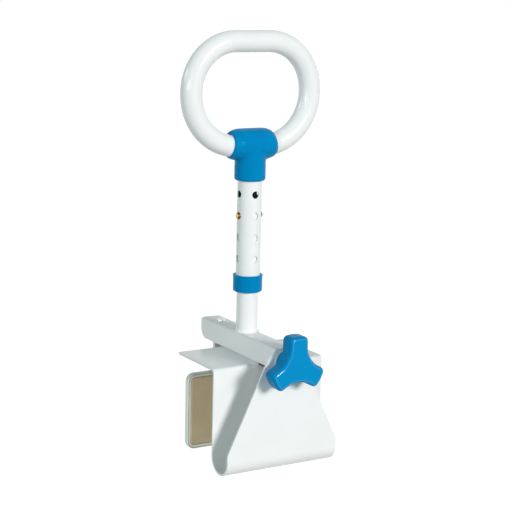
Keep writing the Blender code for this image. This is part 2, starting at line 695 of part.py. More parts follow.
def make_knob():
    knob = plate([knob_outline()], KNOB_THICK, (LOBES_X + KNOB_THICK / 2, 0, SCREW_Z), FACING_X, KNOB_EDGE)
    hub = rod(HUB_RADIUS, HUB_X, LOBES_X + KNOB_EDGE, ROUND_STEPS, location=(0, 0, SCREW_Z),
              rotation=ALONG_X)
    depth = SCREW_HEAD_THICK + GAP
    pocket = plate([hexagon(GAP)], 2 * depth, (HUB_X, 0, SCREW_Z), FACING_X)
    return finish(cut(join(knob, hub), pocket), "knob", BLUE_PLASTIC)


def make_thrust_washer():
    washer = ring_turned(SCREW_RADIUS + BORE_GAP, WASHER_RADIUS, WASHER_X, WASHER_X + WASHER_THICK,
                         location=(0, 0, SCREW_Z), rotation=ALONG_X)
    return finish(washer, "thrust_washer", NYLON)


def make_retaining_clip():
    """Spring clip pushed up from below into the screw's groove, open downwards."""
    inner = SCREW_RADIUS - CLIP_GROOVE + BORE_GAP
    start = -90.0 + CLIP_MOUTH / 2
    end = 270.0 - CLIP_MOUTH / 2
    steps = 3 * ARC_STEPS
    outline = arc((0, 0), CLIP_RADIUS, start, end, steps) + arc((0, 0), inner, end, start, steps)
    clip = plate([outline], CLIP_THICK, (CLIP_X + CLIP_THICK / 2, 0, SCREW_Z), FACING_X)
    return finish(clip, "retaining_clip", SPRING_STEEL)


# Telescopic stem, collar and snap buttons

def make_lower_stem():
    inner = LOWER_RADIUS - LOWER_WALL
    stem = turned([
        (LOWER_RADIUS, LOWER_TOP), (LOWER_RADIUS, LOWER_BOTTOM + WELD_HEIGHT),
        (LOWER_RADIUS + WELD_FLARE / 4, LOWER_BOTTOM + WELD_HEIGHT / 2),
        (LOWER_RADIUS + WELD_FLARE, LOWER_BOTTOM), (inner, LOWER_BOTTOM), (inner, LOWER_TOP),
    ], closed=True)
    hole = rod(BUTTON_RADIUS + BORE_GAP, -UPPER_RADIUS, UPPER_RADIUS, location=(0, 0, BUTTON_Z),
               rotation=ALONG_Y)
    return finish(cut(stem, hole), "lower_stem", WHITE_PAINT)


def make_upper_stem():
    stem = ring_turned(UPPER_RADIUS - UPPER_WALL, UPPER_RADIUS, UPPER_BOTTOM, UPPER_TOP)
    reach = UPPER_RADIUS + PAST
    for row in range(HOLE_ROWS):
        z = TOP_ROW_Z - row * HOLE_PITCH
        cut(stem, rod(HOLE_RADIUS, -reach, reach, location=(0, 0, z), rotation=ALONG_X))
        cut(stem, rod(HOLE_RADIUS, -reach, reach, location=(0, 0, z), rotation=ALONG_Y))
    cut(stem, tapper_bore(0.0, sleeve_screw_height(), SLEEVE_RADIUS))
    return finish(stem, "upper_stem", WHITE_PAINT)


def make_stem_collar():
    top = COLLAR_BOTTOM + COLLAR_HEIGHT
    seat = UPPER_RADIUS + GAP
    throat = LOWER_RADIUS + GAP
    edge = arc((COLLAR_RADIUS - COLLAR_EDGE, COLLAR_BOTTOM + COLLAR_EDGE), COLLAR_EDGE, 0.0, -90.0, 3)
    profile = [
        (COLLAR_RADIUS - COLLAR_LIP, top), (COLLAR_RADIUS + COLLAR_LIP, top - COLLAR_LIP),
        (COLLAR_RADIUS + COLLAR_LIP, top - COLLAR_LIP_HEIGHT + 2 * COLLAR_LIP),
        (COLLAR_RADIUS, top - COLLAR_LIP_HEIGHT),
    ]
    profile += edge
    profile += [(throat, COLLAR_BOTTOM), (throat, UPPER_BOTTOM - GAP)]
    profile += [(seat, UPPER_BOTTOM - GAP), (seat, top)]
    return finish(turned(profile, closed=True), "stem_collar", BLUE_PLASTIC)


def button_foot_top():
    """From the stem's axis to where a button's foot stops against the inner tube."""
    return math.sqrt((LOWER_RADIUS - LOWER_WALL) ** 2 - BUTTON_FOOT_RADIUS ** 2) - GAP


def make_button(name, side):
    """Domed button of the snap clip, turned about Y; side is -1 or +1."""
    tip = UPPER_RADIUS + BUTTON_PROUD
    foot_top = button_foot_top()
    foot = foot_top - BUTTON_FOOT_THICK
    dome = [(BUTTON_RADIUS * math.sin(a), tip - BUTTON_DOME + BUTTON_DOME * math.cos(a))
            for a in [math.radians(d) for d in (0, 25, 50, 70, 90)]]
    profile = dome + [(BUTTON_RADIUS, foot_top), (BUTTON_FOOT_RADIUS, foot_top),
                      (BUTTON_FOOT_RADIUS, foot), (0.0, foot)]
    rotation = ALONG_Y if side > 0 else (math.pi / 2, 0.0, 0.0)
    return finish(turned(profile, (0, 0, BUTTON_Z), rotation, steps=SMALL_STEPS), name, BRASS)


def make_snap_spring():
    """Leaf bent into a V inside the lower stem; its legs carry the buttons."""
    leg = button_foot_top() - BUTTON_FOOT_THICK - GAP - SPRING_THICK / 2
    bend_z = BUTTON_Z - SPRING_DROP
    straight_z = BUTTON_Z - BUTTON_FOOT_RADIUS
    path = [(-leg, BUTTON_Z + SPRING_ABOVE), (-leg, straight_z)]
    path += arc((0.0, bend_z), SPRING_BEND, 180.0, 360.0)
    path += [(leg, straight_z), (leg, BUTTON_Z + SPRING_ABOVE)]
    return finish(folded(path, SPRING_WIDTH, SPRING_THICK, FACING_X), "snap_spring", SPRING_STEEL)


# Ring handle and tee

def ring_path(start_y):
    """Centreline of the ring in the YZ plane, from start_y under its middle round to -start_y."""
    half = [(start_y, RING_Z)]
    half += arc((RING_LOWER_CENTRE_Y, RING_LOWER_CENTRE_Z), RING_LOWER_RADIUS, -90.0, 0.0, 2 * ARC_STEPS)
    half += arc((RING_TOP_CENTRE_Y, RING_TOP_CENTRE_Z), RING_TOP_RADIUS, 0.0, 90.0, 2 * ARC_STEPS)
    other = [(-y, z) for y, z in reversed(half)]
    return [(0.0, y, z) for y, z in half + other]


def tee_path(half_width, steps, raised=0.0):
    """The ring's centreline where it runs inside the tee, by its distance from the middle."""
    turn = math.asin((half_width - RING_LOWER_CENTRE_Y) / RING_LOWER_RADIUS)
    length = RING_LOWER_CENTRE_Y + turn * RING_LOWER_RADIUS
    path = []
    for k in range(-steps, steps + 1):
        distance = abs(k) / steps * length
        bend = max(0.0, distance - RING_LOWER_CENTRE_Y) / RING_LOWER_RADIUS
        y = min(distance, RING_LOWER_CENTRE_Y) + RING_LOWER_RADIUS * math.sin(bend)
        z = RING_Z + RING_LOWER_RADIUS * (1.0 - math.cos(bend)) + raised
        path.append((0.0, math.copysign(y, k), z))
    return path


def make_handle_ring():
    path = ring_path(RING_ENDS_APART / 2)
    ring = swept(path, [RING_TUBE] * len(path), TUBE_SIDES, capped=False)
    wall = ring.modifiers.new("wall", "SOLIDIFY")
    wall.thickness = RING_WALL
    wall.offset = -1.0
    for side in (-1, 1):
        cut(ring, tapper_bore(side * RING_SCREW_Y, RING_Z, TEE_MIDDLE_RADIUS))
    return finish(ring, "handle_ring", WHITE_PAINT)


def make_handle_tee():
    steps = 8
    drop = TEE_MIDDLE_RADIUS - TEE_MOUTH_RADIUS
    radii = [TEE_MIDDLE_RADIUS - drop * abs(k / steps) ** TEE_FULLNESS for k in range(-steps, steps + 1)]
    tee = swept(tee_path(TEE_HALF_WIDTH, steps, TEE_RAISE), radii, TEE_SIDES)
    edge = arc((SLEEVE_RADIUS - SLEEVE_EDGE, SLEEVE_BOTTOM + SLEEVE_EDGE), SLEEVE_EDGE, 0.0, -90.0, 3)
    sleeve = turned([(0.0, RING_Z), (SLEEVE_RADIUS, RING_Z)] + edge + [(0.0, SLEEVE_BOTTOM)])
    join(tee, sleeve)
    ring_bore_path = tee_path(TEE_HALF_WIDTH + 2 * PAST, steps)
    ring_bore = swept(ring_bore_path, [RING_TUBE + BORE_GAP] * len(ring_bore_path), TUBE_SIDES)
    stem_bore = rod(UPPER_RADIUS + BORE_GAP, SLEEVE_BOTTOM - PAST, UPPER_TOP + GAP, ROUND_STEPS)
    cut(tee, ring_bore, stem_bore)
    cut(tee, tapper_seat(0.0, sleeve_screw_height(), SLEEVE_RADIUS))
    for side in (-1, 1):
        cut(tee, tapper_seat(side * RING_SCREW_Y, RING_Z, TEE_MIDDLE_RADIUS))
    return finish(tee, "handle_tee", BLUE_PLASTIC)


# Self-tapping screws, driven from the back of the tee along +X

def sleeve_screw_height():
    return SLEEVE_BOTTOM + SLEEVE_SCREW_RISE


def tapper_bore(y, z, surface):
    return rod(TAPPER_RADIUS + BORE_GAP, -surface - PAST, 0.0, location=(0, y, z), rotation=ALONG_X)


def tapper_seat(y, z, surface):
    """Stepped hole that takes a screw's head below the surface of the tee."""
    sink = -surface + TAPPER_SINK
    wide = TAPPER_HEAD + BORE_GAP
    narrow = TAPPER_RADIUS + BORE_GAP
    return turned([(0.0, 0.0), (narrow, 0.0), (narrow, sink), (wide, sink),
                   (wide, -surface - PAST), (0.0, -surface - PAST)],
                  (0, y, z), ALONG_X, steps=SMALL_STEPS)


def make_tapper(name, y, z, surface, tube_inner):
    sink = -surface + TAPPER_SINK - GAP
    tip = -tube_inner + TAPPER_PAST
    screw = turned([
        (0.0, tip), (TAPPER_RADIUS / 2, tip - TAPPER_RADIUS / 2), (TAPPER_RADIUS, tip - TAPPER_RADIUS),
        (TAPPER_RADIUS, sink), (TAPPER_HEAD, sink), (TAPPER_HEAD, sink - TAPPER_HEAD_THICK / 2),
        (TAPPER_HEAD / 2, sink - TAPPER_HEAD_THICK), (0.0, sink - TAPPER_HEAD_THICK),
    ], (0, y, z), ALONG_X, steps=SMALL_STEPS)
    return finish(screw, name, ZINC)


# Assembly: each moving group hangs from an empty on its joint's axis

def group(name, location, members, under=None):
    holder = bpy.data.objects.new(name, None)
    holder.empty_display_size = 0.02
    parts.objects.link(holder)
    holder.location = location
    bpy.context.view_layer.update()
    for member in members:
        world = member.matrix_world.copy()
        member.parent = holder
        member.matrix_world = world
    if under:
        world = holder.matrix_world.copy()
        holder.parent = under
        holder.matrix_world = world
    return holder


def build():
    guide_back, guide_front = guide_rivet_places()
    upper_rivet, lower_rivet = jaw_rivet_heights()
    base = [
        make_clamp_bracket(), make_rim_pad(), make_outer_pad(), make_guide_block(),
        make_guide_rivet("guide_rivet_back", guide_back),
        make_guide_rivet("guide_rivet_front", guide_front),
    ]
    beam = [
        make_slide_beam(), make_nut_plate(), make_beam_nut(), make_jaw_hanger(), make_hanger_rivet(),
        make_jaw_pan(), make_jaw_pad(), make_jaw_rivet("jaw_rivet_upper", upper_rivet),
        make_jaw_rivet("jaw_rivet_lower", lower_rivet), make_lower_stem(), make_snap_spring(),
    ]
    screw = [make_clamp_screw(), make_knob(), make_thrust_washer(), make_retaining_clip()]
    ring_wall = RING_TUBE - RING_WALL
    handle = [
        make_upper_stem(), make_handle_tee(), make_handle_ring(),
        make_tapper("ring_screw_left", -RING_SCREW_Y, RING_Z, TEE_MIDDLE_RADIUS, ring_wall),
        make_tapper("ring_screw_right", RING_SCREW_Y, RING_Z, TEE_MIDDLE_RADIUS, ring_wall),
        make_tapper("sleeve_screw", 0.0, sleeve_screw_height(), SLEEVE_RADIUS, UPPER_RADIUS - UPPER_WALL),
    ]
    collar = [make_stem_collar()]
    buttons = [make_button("button_left", -1), make_button("button_right", 1)]
    root = group("bracket_frame", (0, 0, 0), base)
    slide = group("beam_slide", (0, 0, BEAM_TOP), beam, root)
    group("knob_axis", (FRONT_PLATE_X, 0, SCREW_Z), screw, root)
    lift = group("height_slide", (0, 0, BUTTON_Z), collar, slide)
    group("handle_axis", (0, 0, BUTTON_Z), handle, lift)
    group("button_axis", (0, 0, BUTTON_Z), buttons, slide)


build()
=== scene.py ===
# %% [markdown]
# # A bath safety rail, dressed for its picture
# The rail clamps on the rim of a bathtub. A folded bracket rests on the rim, a beam slides in it and pulls
# a padded jaw against the tub's wall, and a telescopic stem on the beam carries a ring handle.
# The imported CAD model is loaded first. It is the frame that every finer piece is built on.

import math

import bmesh
import bpy
from mathutils import Matrix, Vector


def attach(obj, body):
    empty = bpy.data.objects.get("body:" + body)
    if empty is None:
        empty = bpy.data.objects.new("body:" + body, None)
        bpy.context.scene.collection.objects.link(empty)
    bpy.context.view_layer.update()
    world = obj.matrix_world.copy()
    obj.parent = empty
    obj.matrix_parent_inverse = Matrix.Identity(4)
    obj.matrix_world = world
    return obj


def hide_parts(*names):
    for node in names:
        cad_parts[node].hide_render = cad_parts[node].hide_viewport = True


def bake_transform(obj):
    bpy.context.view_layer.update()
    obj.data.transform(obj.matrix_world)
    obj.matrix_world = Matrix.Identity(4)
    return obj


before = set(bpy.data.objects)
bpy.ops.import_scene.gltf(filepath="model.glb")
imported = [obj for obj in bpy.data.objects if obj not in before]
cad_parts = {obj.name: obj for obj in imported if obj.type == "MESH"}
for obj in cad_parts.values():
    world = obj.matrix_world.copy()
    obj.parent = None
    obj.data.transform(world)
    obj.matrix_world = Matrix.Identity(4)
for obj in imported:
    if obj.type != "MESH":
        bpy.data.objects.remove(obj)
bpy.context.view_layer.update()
MM = 0.001
scene = bpy.context.scene

# %% [markdown]
# ## The camera
# A photograph's viewpoint can be found by moving a camera until known edges fall on their places in the
# picture. The numbers here come from such a fit. They are kept as plain angles and a distance, so each
# can be read and changed alone: round the stem, level with its middle, and a slight roll.

# %% Camera
def add_object(name, data):
    """A new object in the scene."""
    made = bpy.data.objects.new(name, data)
    scene.collection.objects.link(made)
    return made


PICTURE_SIDE = 512  # the picture is square, in pixels
FOCAL_LENGTH, SHIFT_X, SHIFT_Y = 1458, 3.1, -7.8  # in the picture's pixels
SENSOR_WIDTH = 36.0  # in millimetres
CAMERA_REACH, CAMERA_HEIGHT = 1.680, 0.4456  # from the stem and above the rim, in metres
azimuth = math.radians(30.63)  # from the knob's side towards the jaw's open end
yaw, pitch, roll = math.radians(0.184), math.radians(10.64), math.radians(1.29)
camera_place = Vector((CAMERA_REACH * math.cos(azimuth), -CAMERA_REACH * math.sin(azimuth), CAMERA_HEIGHT))
upwards = Vector((0, 0, 1))
inwards = Vector((-math.cos(azimuth), math.sin(azimuth), 0))
level = inwards * math.cos(yaw) + inwards.cross(upwards) * math.sin(yaw)
sideways = level.cross(upwards)
gaze = level * math.cos(pitch) - upwards * math.sin(pitch)
over = sideways.cross(gaze)
axis_x = sideways * math.cos(roll) + over * math.sin(roll)
axis_y = over * math.cos(roll) - sideways * math.sin(roll)
turn = Matrix((axis_x, axis_y, -gaze)).transposed().to_4x4()

camera = add_object("camera", bpy.data.cameras.new("camera"))
camera.matrix_world = Matrix.Translation(camera_place) @ turn
camera.data.sensor_width = SENSOR_WIDTH
camera.data.lens = FOCAL_LENGTH / PICTURE_SIDE * SENSOR_WIDTH
camera.data.shift_x = SHIFT_X / PICTURE_SIDE
camera.data.shift_y = SHIFT_Y / PICTURE_SIDE
camera.data.clip_start = 0.01
scene.camera = camera
scene.view_settings.view_transform = "Standard"
print("camera", round(camera.data.lens, 1), "mm lens,", round(camera_place.length, 2), "m away")

# %% [markdown]
# ## Writing shader sums in Python
# Blender's materials are node trees. Drawing them by hand is quick, but in a script each sum would take
# several lines of nodes and links. A small class round a socket lets Python's own signs add the Math
# nodes, and one method of `Finish` adds any other node from its settings and its sockets' values.

# %% Sockets and finishes
class Wire:
    """An output socket that can take part in a sum."""

    def __init__(self, finish, socket):
        self.finish = finish
        self.socket = socket

    def sum_with(self, operation, first, second):
        return self.finish.node("ShaderNodeMath", {"operation": operation}, {0: first, 1: second})

    def __add__(self, other):
        return self.sum_with("ADD", self, other)

    def __rsub__(self, other):
        return self.sum_with("SUBTRACT", other, self)

    def __mul__(self, other):
        return self.sum_with("MULTIPLY", self, other)

    __radd__, __rmul__ = __add__, __mul__

    def above(self, edge, width):
        """0 below edge and 1 above it, blended over a width."""
        return self.finish.node("ShaderNodeMapRange", {"interpolation_type": "SMOOTHSTEP"},
                                {"Value": self, "From Min": edge - width / 2, "From Max": edge + width / 2})


class Finish:
    """A node tree to which nodes are added one call at a time."""

    def __init__(self, tree):
        self.tree = tree
        tree.nodes.clear()

    def node(self, kind, settings=None, sockets=None, output=0):
        """Add a node with its settings; a socket takes a value or another node's Wire."""
        made = self.tree.nodes.new(kind)
        for name, value in (settings or {}).items():
            setattr(made, name, value)
        for name, value in (sockets or {}).items():
            if isinstance(value, Wire):
                self.tree.links.new(value.socket, made.inputs[name])
            else:
                made.inputs[name].default_value = value
        return Wire(self, made.outputs[output])

    def position(self, stretch=(1.0, 1.0, 1.0)):
        """Object coordinates in metres, which stay with the piece when it moves."""
        place = self.node("ShaderNodeTexCoord", output="Object")
        return self.node("ShaderNodeMapping", {}, {"Vector": place, "Scale": stretch})

    def along_x(self):
        """How far along X a point lies, in metres."""
        return self.node("ShaderNodeSeparateXYZ", {}, {"Vector": self.position()}, output="X")

    def noise(self, scale, detail, stretch=(1.0, 1.0, 1.0)):
        """Soft noise; a larger scale is finer, and a stretch below 1 draws it out along that axis."""
        place = self.position(stretch)
        return self.node("ShaderNodeTexNoise", {}, {"Vector": place, "Scale": scale, "Detail": detail})

    def blend(self, factor, first, second):
        """A colour between two others."""
        first, second = [(*end, 1.0) if isinstance(end, tuple) else end for end in (first, second)]
        return self.node("ShaderNodeMix", {"data_type": "RGBA"}, {0: factor, 6: first, 7: second}, output=2)

    def show(self, surface, kind="ShaderNodeOutputMaterial"):
        """Link a shader to the tree's output."""
        out = self.tree.nodes.new(kind)
        self.tree.links.new(surface.socket, out.inputs["Surface"])

    def relief(self, height, depth):
        """A bump of a real depth in metres."""
        return self.node("ShaderNodeBump", {}, {"Strength": 1.0, "Distance": depth, "Height": height})


def coating(name, build):
    """A named material whose Principled shader takes the values that build returns."""
    made = bpy.data.materials.new(name)
    made.use_nodes = True
    finish = Finish(made.node_tree)
    finish.show(finish.node("ShaderNodeBsdfPrincipled", {}, build(finish)))
    return made


print("shader helpers ready")

# %% [markdown]
# ## Floor, room and lamps
# The picture's background is plain white. The room's white is only what the camera and the reflections
# see, while a much weaker, slightly green grey lights the rail. Sun lamps do most of the rest, because
# they light the whole floor evenly, so it stays white up to the horizon. Their angle makes their shadows
# soft. The main one is on the knob's side. Two weaker ones are at the open end of the clamp. A narrow
# spot beside the camera stands for the card that lightens the jaw's pad, which hangs in the bracket's
# shadow, and a tall narrow strip puts the thin bright lines on the tubes. The floor lies as far below the
# rim as a tub is high.

# %% Room
def seen(finish):
    """1 for rays from the camera, from a gloss or through glass."""
    camera_ray, gloss_ray, glass_ray = [finish.node("ShaderNodeLightPath", output=name) for name in
                                        ("Is Camera Ray", "Is Glossy Ray", "Is Transmission Ray")]
    return camera_ray.sum_with("MAXIMUM", camera_ray, gloss_ray.sum_with("MAXIMUM", gloss_ray, glass_ray))


ROOM_LIGHT = (0.132, 0.196, 0.192)
world = bpy.data.worlds.new("studio")
world.use_nodes = True
scene.world = world
room = Finish(world.node_tree)
sky = room.blend(seen(room), ROOM_LIGHT, (1.0, 1.0, 1.0))
room.show(room.node("ShaderNodeBackground", {}, {"Color": sky, "Strength": 1.0}), "ShaderNodeOutputWorld")
print("room light", ROOM_LIGHT)

# %% Floor
FLOOR_Z, FLOOR_REACH = -0.45, 30.0  # in metres
floor_shape = bmesh.new()
bmesh.ops.create_grid(floor_shape, x_segments=1, y_segments=1, size=FLOOR_REACH,
                      matrix=Matrix.Translation((0, 0, FLOOR_Z)))
floor_mesh = bpy.data.meshes.new("floor")
floor_shape.to_mesh(floor_mesh)
floor_shape.free()
floor = add_object("floor", floor_mesh)
pale = bpy.data.materials.new("floor")
pale.use_nodes = True
ground = Finish(pale.node_tree)
matt = ground.node("ShaderNodeBsdfDiffuse", {}, {"Color": (0.60, 0.60, 0.60, 1.0)})
white = ground.node("ShaderNodeEmission", {}, {"Color": (1, 1, 1, 1), "Strength": seen(ground) * 0.76})
ground.show(ground.node("ShaderNodeAddShader", {}, {0: matt, 1: white}))
floor_mesh.materials.append(pale)
print("floor at", FLOOR_Z, "m")


# %% Lamps
def lamp(name, data, brightness, tint, away, place=(0, 0, 0)):
    """Put a lamp at a place; it shines along its own -Z, against the direction away."""
    data.color = tint
    made = add_object(name, data)
    made.matrix_world = Matrix.Translation(place) @ away.to_track_quat("Z", "Y").to_matrix().to_4x4()
    print(name, "brightness", brightness)


def sun(name, azimuth, height, softness, brightness, tint):
    """A soft sun from angles round the stem and above level; brightness 1 lights white to white."""
    data = bpy.data.lights.new(name, "SUN")
    data.angle = math.radians(softness)
    data.energy = brightness * math.pi
    around, above = math.radians(azimuth), math.radians(height)
    away = Vector((math.cos(around) * math.cos(above), math.sin(around) * math.cos(above), math.sin(above)))
    lamp(name, data, brightness, tint, away)


sun("knob_side_sun", 11.0, 19.0, 15.0, 0.745, (1.0, 0.975, 0.975))
sun("open_end_sun", -68.0, 5.0, 15.0, 0.175, (0.95, 1.0, 0.99))
sun("back_edge_sun", -120.0, 20.0, 15.0, 0.15, (0.92, 1.0, 1.0))


def aimed(name, data, place, target, brightness, tint):
    """A lamp at a place, aimed at a target, with its brightness there."""
    away = Vector(place) - Vector(target)
    data.energy = brightness * away.length ** 2 * (4 * math.pi ** 2 if data.type == "SPOT" else math.pi ** 2)
    lamp(name, data, brightness, tint, away, place)


card = bpy.data.lights.new("pad_card", "SPOT")
card.spot_size, card.spot_blend, card.shadow_soft_size = math.radians(4.0), 0.35, 0.006
aimed("pad_card", card, (0.95, -1.10, 0.02), (-48.8 * MM, -31 * MM, -78 * MM), 0.37, (1.0, 0.98, 0.95))

streak = bpy.data.lights.new("strip", "AREA")
streak.shape, streak.size, streak.size_y = "RECTANGLE", 0.20, 0.55
aimed("strip", streak, (1.40, -1.45, 0.62), (0.0, 0.0, 0.25), 0.075, (1.0, 1.0, 1.0))

# %% [markdown]
# ## Finishes
# White powder coat isn't quite flat: it has a soft waviness, called orange peel, and a gloss that varies a
# little. Moulded plastic has a fine grain from the mould and faint flow marks. Rubber is matt and speckled.
# Metal parts show the lines of the tool or the roller. Each finish is worked out from Object coordinates in
# metres, so its detail has its real size on every piece.

# %% Painted, moulded and rubber finishes
def powder_coat(finish):
    drift = finish.noise(18, 3)
    peel = finish.noise(420, 2)
    speck = finish.noise(2600, 1)
    return {
        "Base Color": finish.blend(drift.above(0.5, 0.5), (0.858, 0.868, 0.863), (0.884, 0.892, 0.888)),
        "Roughness": 0.11 + 0.06 * peel + 0.04 * drift,
        "Normal": finish.relief(peel + 0.15 * speck, 0.00003),
        "Specular IOR Level": 0.42,
    }


def bright_rivet(finish):
    """The rivet is closed after the beam is sprayed: its head is satin aluminium under a thin white film."""
    cloud = finish.noise(150, 2)
    return {
        "Base Color": finish.blend(cloud, (0.88, 0.86, 0.83), (0.93, 0.91, 0.88)),
        "Metallic": 0.55,
        "Roughness": 0.36 + 0.08 * cloud,
    }


def blue_moulding(finish):
    flow = finish.noise(60, 3, (1.0, 1.0, 0.3))
    grain = finish.noise(1700, 2)
    return {
        "Base Color": finish.blend(flow.above(0.5, 0.4), (0.0006, 0.225, 0.510), (0.0012, 0.250, 0.552)),
        "Roughness": 0.17 + 0.07 * grain + 0.04 * flow,
        "Normal": finish.relief(grain, 0.00002),
        "Specular IOR Level": 0.05,
        "Specular Tint": (0.10, 0.75, 1.0, 1.0),
    }


def tan_foam(finish):
    cloud = finish.noise(45, 3)
    grain = finish.noise(1500, 3)
    pores = grain.above(0.62, 0.10)
    colour = finish.blend(cloud.above(0.5, 0.5), (0.570, 0.455, 0.288), (0.612, 0.495, 0.318))
    return {
        "Base Color": finish.blend(pores, colour, (0.44, 0.35, 0.21)),
        "Roughness": 0.72 + 0.12 * grain,
        "Normal": finish.relief(grain, 0.00012),
        "Specular IOR Level": 0.3,
    }


def black_rubber(finish):
    grain = finish.noise(1300, 3)
    dust = finish.noise(60, 4).above(0.58, 0.25)
    return {
        "Base Color": finish.blend(dust, (0.020, 0.020, 0.021), (0.034, 0.033, 0.032)),
        "Roughness": 0.68 + 0.15 * grain,
        "Normal": finish.relief(grain, 0.0001),
    }


def nylon(finish):
    cloud = finish.noise(90, 2)
    grain = finish.noise(1900, 2)
    return {
        "Base Color": finish.blend(cloud, (0.77, 0.775, 0.74), (0.84, 0.84, 0.81)),
        "Roughness": 0.36 + 0.12 * grain,
        "Normal": finish.relief(grain, 0.00003),
    }


WHITE_PAINT = coating("white_paint", powder_coat)
BRIGHT_RIVET = coating("bright_rivet", bright_rivet)
BLUE_PLASTIC = coating("blue_plastic", blue_moulding)
TAN_RUBBER = coating("tan_rubber", tan_foam)
BLACK_RUBBER = coating("black_rubber", black_rubber)
NYLON = coating("nylon", nylon)
print("paint, plastic and rubber finishes made")


# %% Metal finishes
def zinc(finish):
    turned_lines = finish.noise(3200, 1, (1.0, 0.12, 1.0))
    spangle = finish.node("ShaderNodeTexVoronoi", {}, {"Vector": finish.position(), "Scale": 700},
                          output="Color")
    cloud = finish.noise(160, 3)
    tint = finish.blend(cloud, (0.58, 0.60, 0.62), (0.68, 0.68, 0.67))
    return {
        "Base Color": finish.blend(0.12, tint, spangle),
        "Metallic": 1.0,
        "Roughness": 0.26 + 0.16 * cloud,
        "Normal": finish.relief(turned_lines, 0.00001),
    }


def spring_steel(finish):
    lines = finish.noise(2600, 2, (0.15, 1.0, 1.0))
    cloud = finish.noise(220, 3)
    return {
        "Base Color": finish.blend(cloud, (0.30, 0.31, 0.34), (0.42, 0.41, 0.40)),
        "Metallic": 1.0,
        "Roughness": 0.28 + 0.18 * lines,
        "Normal": finish.relief(lines, 0.00001),
    }


BUTTON_Z = 169.4 * MM  # the axis of the snap buttons


def brass(finish):
    """Polished brass on the crown of the button, with a dark ring round its foot as painted shade and a
    painted dark reflection.
    """
    across = finish.node("ShaderNodeVectorMath", {"operation": "DISTANCE"},
                         {0: finish.position((1.0, 0.0, 1.0)), 1: (0.0, 0.0, BUTTON_Z)}, output="Value")
    cloud = finish.noise(500, 3)
    scratch = finish.noise(6000, 1, (1.0, 1.0, 0.1))
    return {
        # painted shade and painted dark reflection: a near-black brown ring round the foot of the dome
        "Base Color": finish.blend(across.above(0.0030, 0.0016),
                                   finish.blend(cloud, (0.60, 0.36, 0.085), (0.74, 0.50, 0.16)),
                                   (0.10, 0.062, 0.025)),
        "Metallic": 1.0,
        "Roughness": 0.22 + 0.12 * scratch,
        "Normal": finish.relief(scratch, 0.000005),
    }


# Unpainted inner walls, in a near-black that is painted shade of the hollows inside the beam and the tubes.
def bare_steel_and_painted_shade(finish):
    scale = finish.noise(140, 4)
    grain = finish.noise(1500, 2)
    return {
        "Base Color": finish.blend(scale.above(0.55, 0.4), (0.020, 0.022, 0.024), (0.045, 0.042, 0.040)),
        "Metallic": 0.35,
        "Roughness": 0.50 + 0.20 * grain,
        "Normal": finish.relief(grain, 0.00003),
    }


ZINC = coating("zinc_plate", zinc)
BARE_STEEL_AND_PAINTED_SHADE = coating("bare_steel_and_painted_shade", bare_steel_and_painted_shade)
SPRING_STEEL = coating("spring_steel", spring_steel)
BRASS = coating("brass", brass)
print("metal finishes made")

# %% [markdown]
# ## Tools for the shapes
# Nearly every piece of the rail is one of four shapes: turned about an axis, cut flat from a plate, bent
# along a path, or one of these with holes in it. Each gets one helper made of bmesh operators. Corners of
# an outline are rounded by bevelling its vertices, where the offset along the sides follows from the
# radius and the corner's angle.

# %% Outlines, plates and turned shapes
ALONG_X = Matrix(((0, 0, 1), (1, 0, 0), (0, 1, 0))).to_4x4()  # outline in Y and Z, thickness along X
ALONG_Y = Matrix(((1, 0, 0), (0, 0, -1), (0, 1, 0))).to_4x4()  # outline in X and Z, thickness along -Y
ALONG_Z = Matrix.Identity(4)
SMALLEST = 0.002 * MM  # closer points are merged
SPARE = 0.1 * MM  # as near to a wall counts as on it


def round_off(shape, corner, radius, steps):
    """Turn one corner of an outline into an arc."""
    before, after = [edge.other_vert(corner).co - corner.co for edge in corner.link_edges]
    half = before.angle(after) / 2
    bmesh.ops.bevel(shape, geom=[corner], offset=radius / math.tan(half), offset_type="OFFSET",
                    segments=steps, profile=0.5, affect="VERTICES", material=-1)


def clean(shape):
    """Merge doubles and point every face outwards."""
    bmesh.ops.remove_doubles(shape, verts=shape.verts, dist=SMALLEST)
    bmesh.ops.recalc_face_normals(shape, faces=shape.faces)
    return shape


def slab(corners, low, high, facing=ALONG_Z, steps=8):
    """A flat piece from the (u, v, radius) corners of its outline, thick from low to high."""
    shape = bmesh.new()
    points = [shape.verts.new((u, v, low)) for u, v, radius in corners]
    shape.faces.new(points)
    for point, (u, v, radius) in zip(points, corners):
        if radius > 0:
            round_off(shape, point, radius, steps)
    grown = bmesh.ops.extrude_face_region(shape, geom=shape.faces[:])["geom"]
    far = [item for item in grown if isinstance(item, bmesh.types.BMVert)]
    bmesh.ops.translate(shape, verts=far, vec=(0, 0, high - low))
    bmesh.ops.transform(shape, matrix=facing, verts=shape.verts)
    return clean(shape)


def box_outline(u0, u1, v0, v1, radius=0.0):
    return [(u0, v0, radius), (u1, v0, radius), (u1, v1, radius), (u0, v1, radius)]


def hexagon(half_width, v):
    """A hexagon's outline round the point (0, v), from half its width across the flats."""
    reach = half_width / math.cos(math.pi / 6)
    return [(reach * math.cos(math.radians(60 * k)), reach * math.sin(math.radians(60 * k)) + v, 0.0)
            for k in range(6)]


def turned(profile, facing=ALONG_Z, centre=(0, 0, 0), closed=False, steps=48):
    """A turned piece from (radius, height, rounding) points down its side."""
    shape = bmesh.new()
    points = [shape.verts.new((point[0], 0, point[1])) for point in profile]
    pairs = list(zip(points, points[1:])) + ([(points[-1], points[0])] if closed else [])
    for pair in pairs:
        shape.edges.new(pair)
    for point, numbers in zip(points, profile):
        if len(numbers) > 2:
            round_off(shape, point, numbers[2], steps=4)
    bmesh.ops.spin(shape, geom=shape.verts[:] + shape.edges[:], cent=(0, 0, 0), axis=(0, 0, 1),
                   angle=math.tau, steps=steps, use_merge=True)
    bmesh.ops.transform(shape, matrix=Matrix.Translation(centre) @ facing, verts=shape.verts)
    return clean(shape)


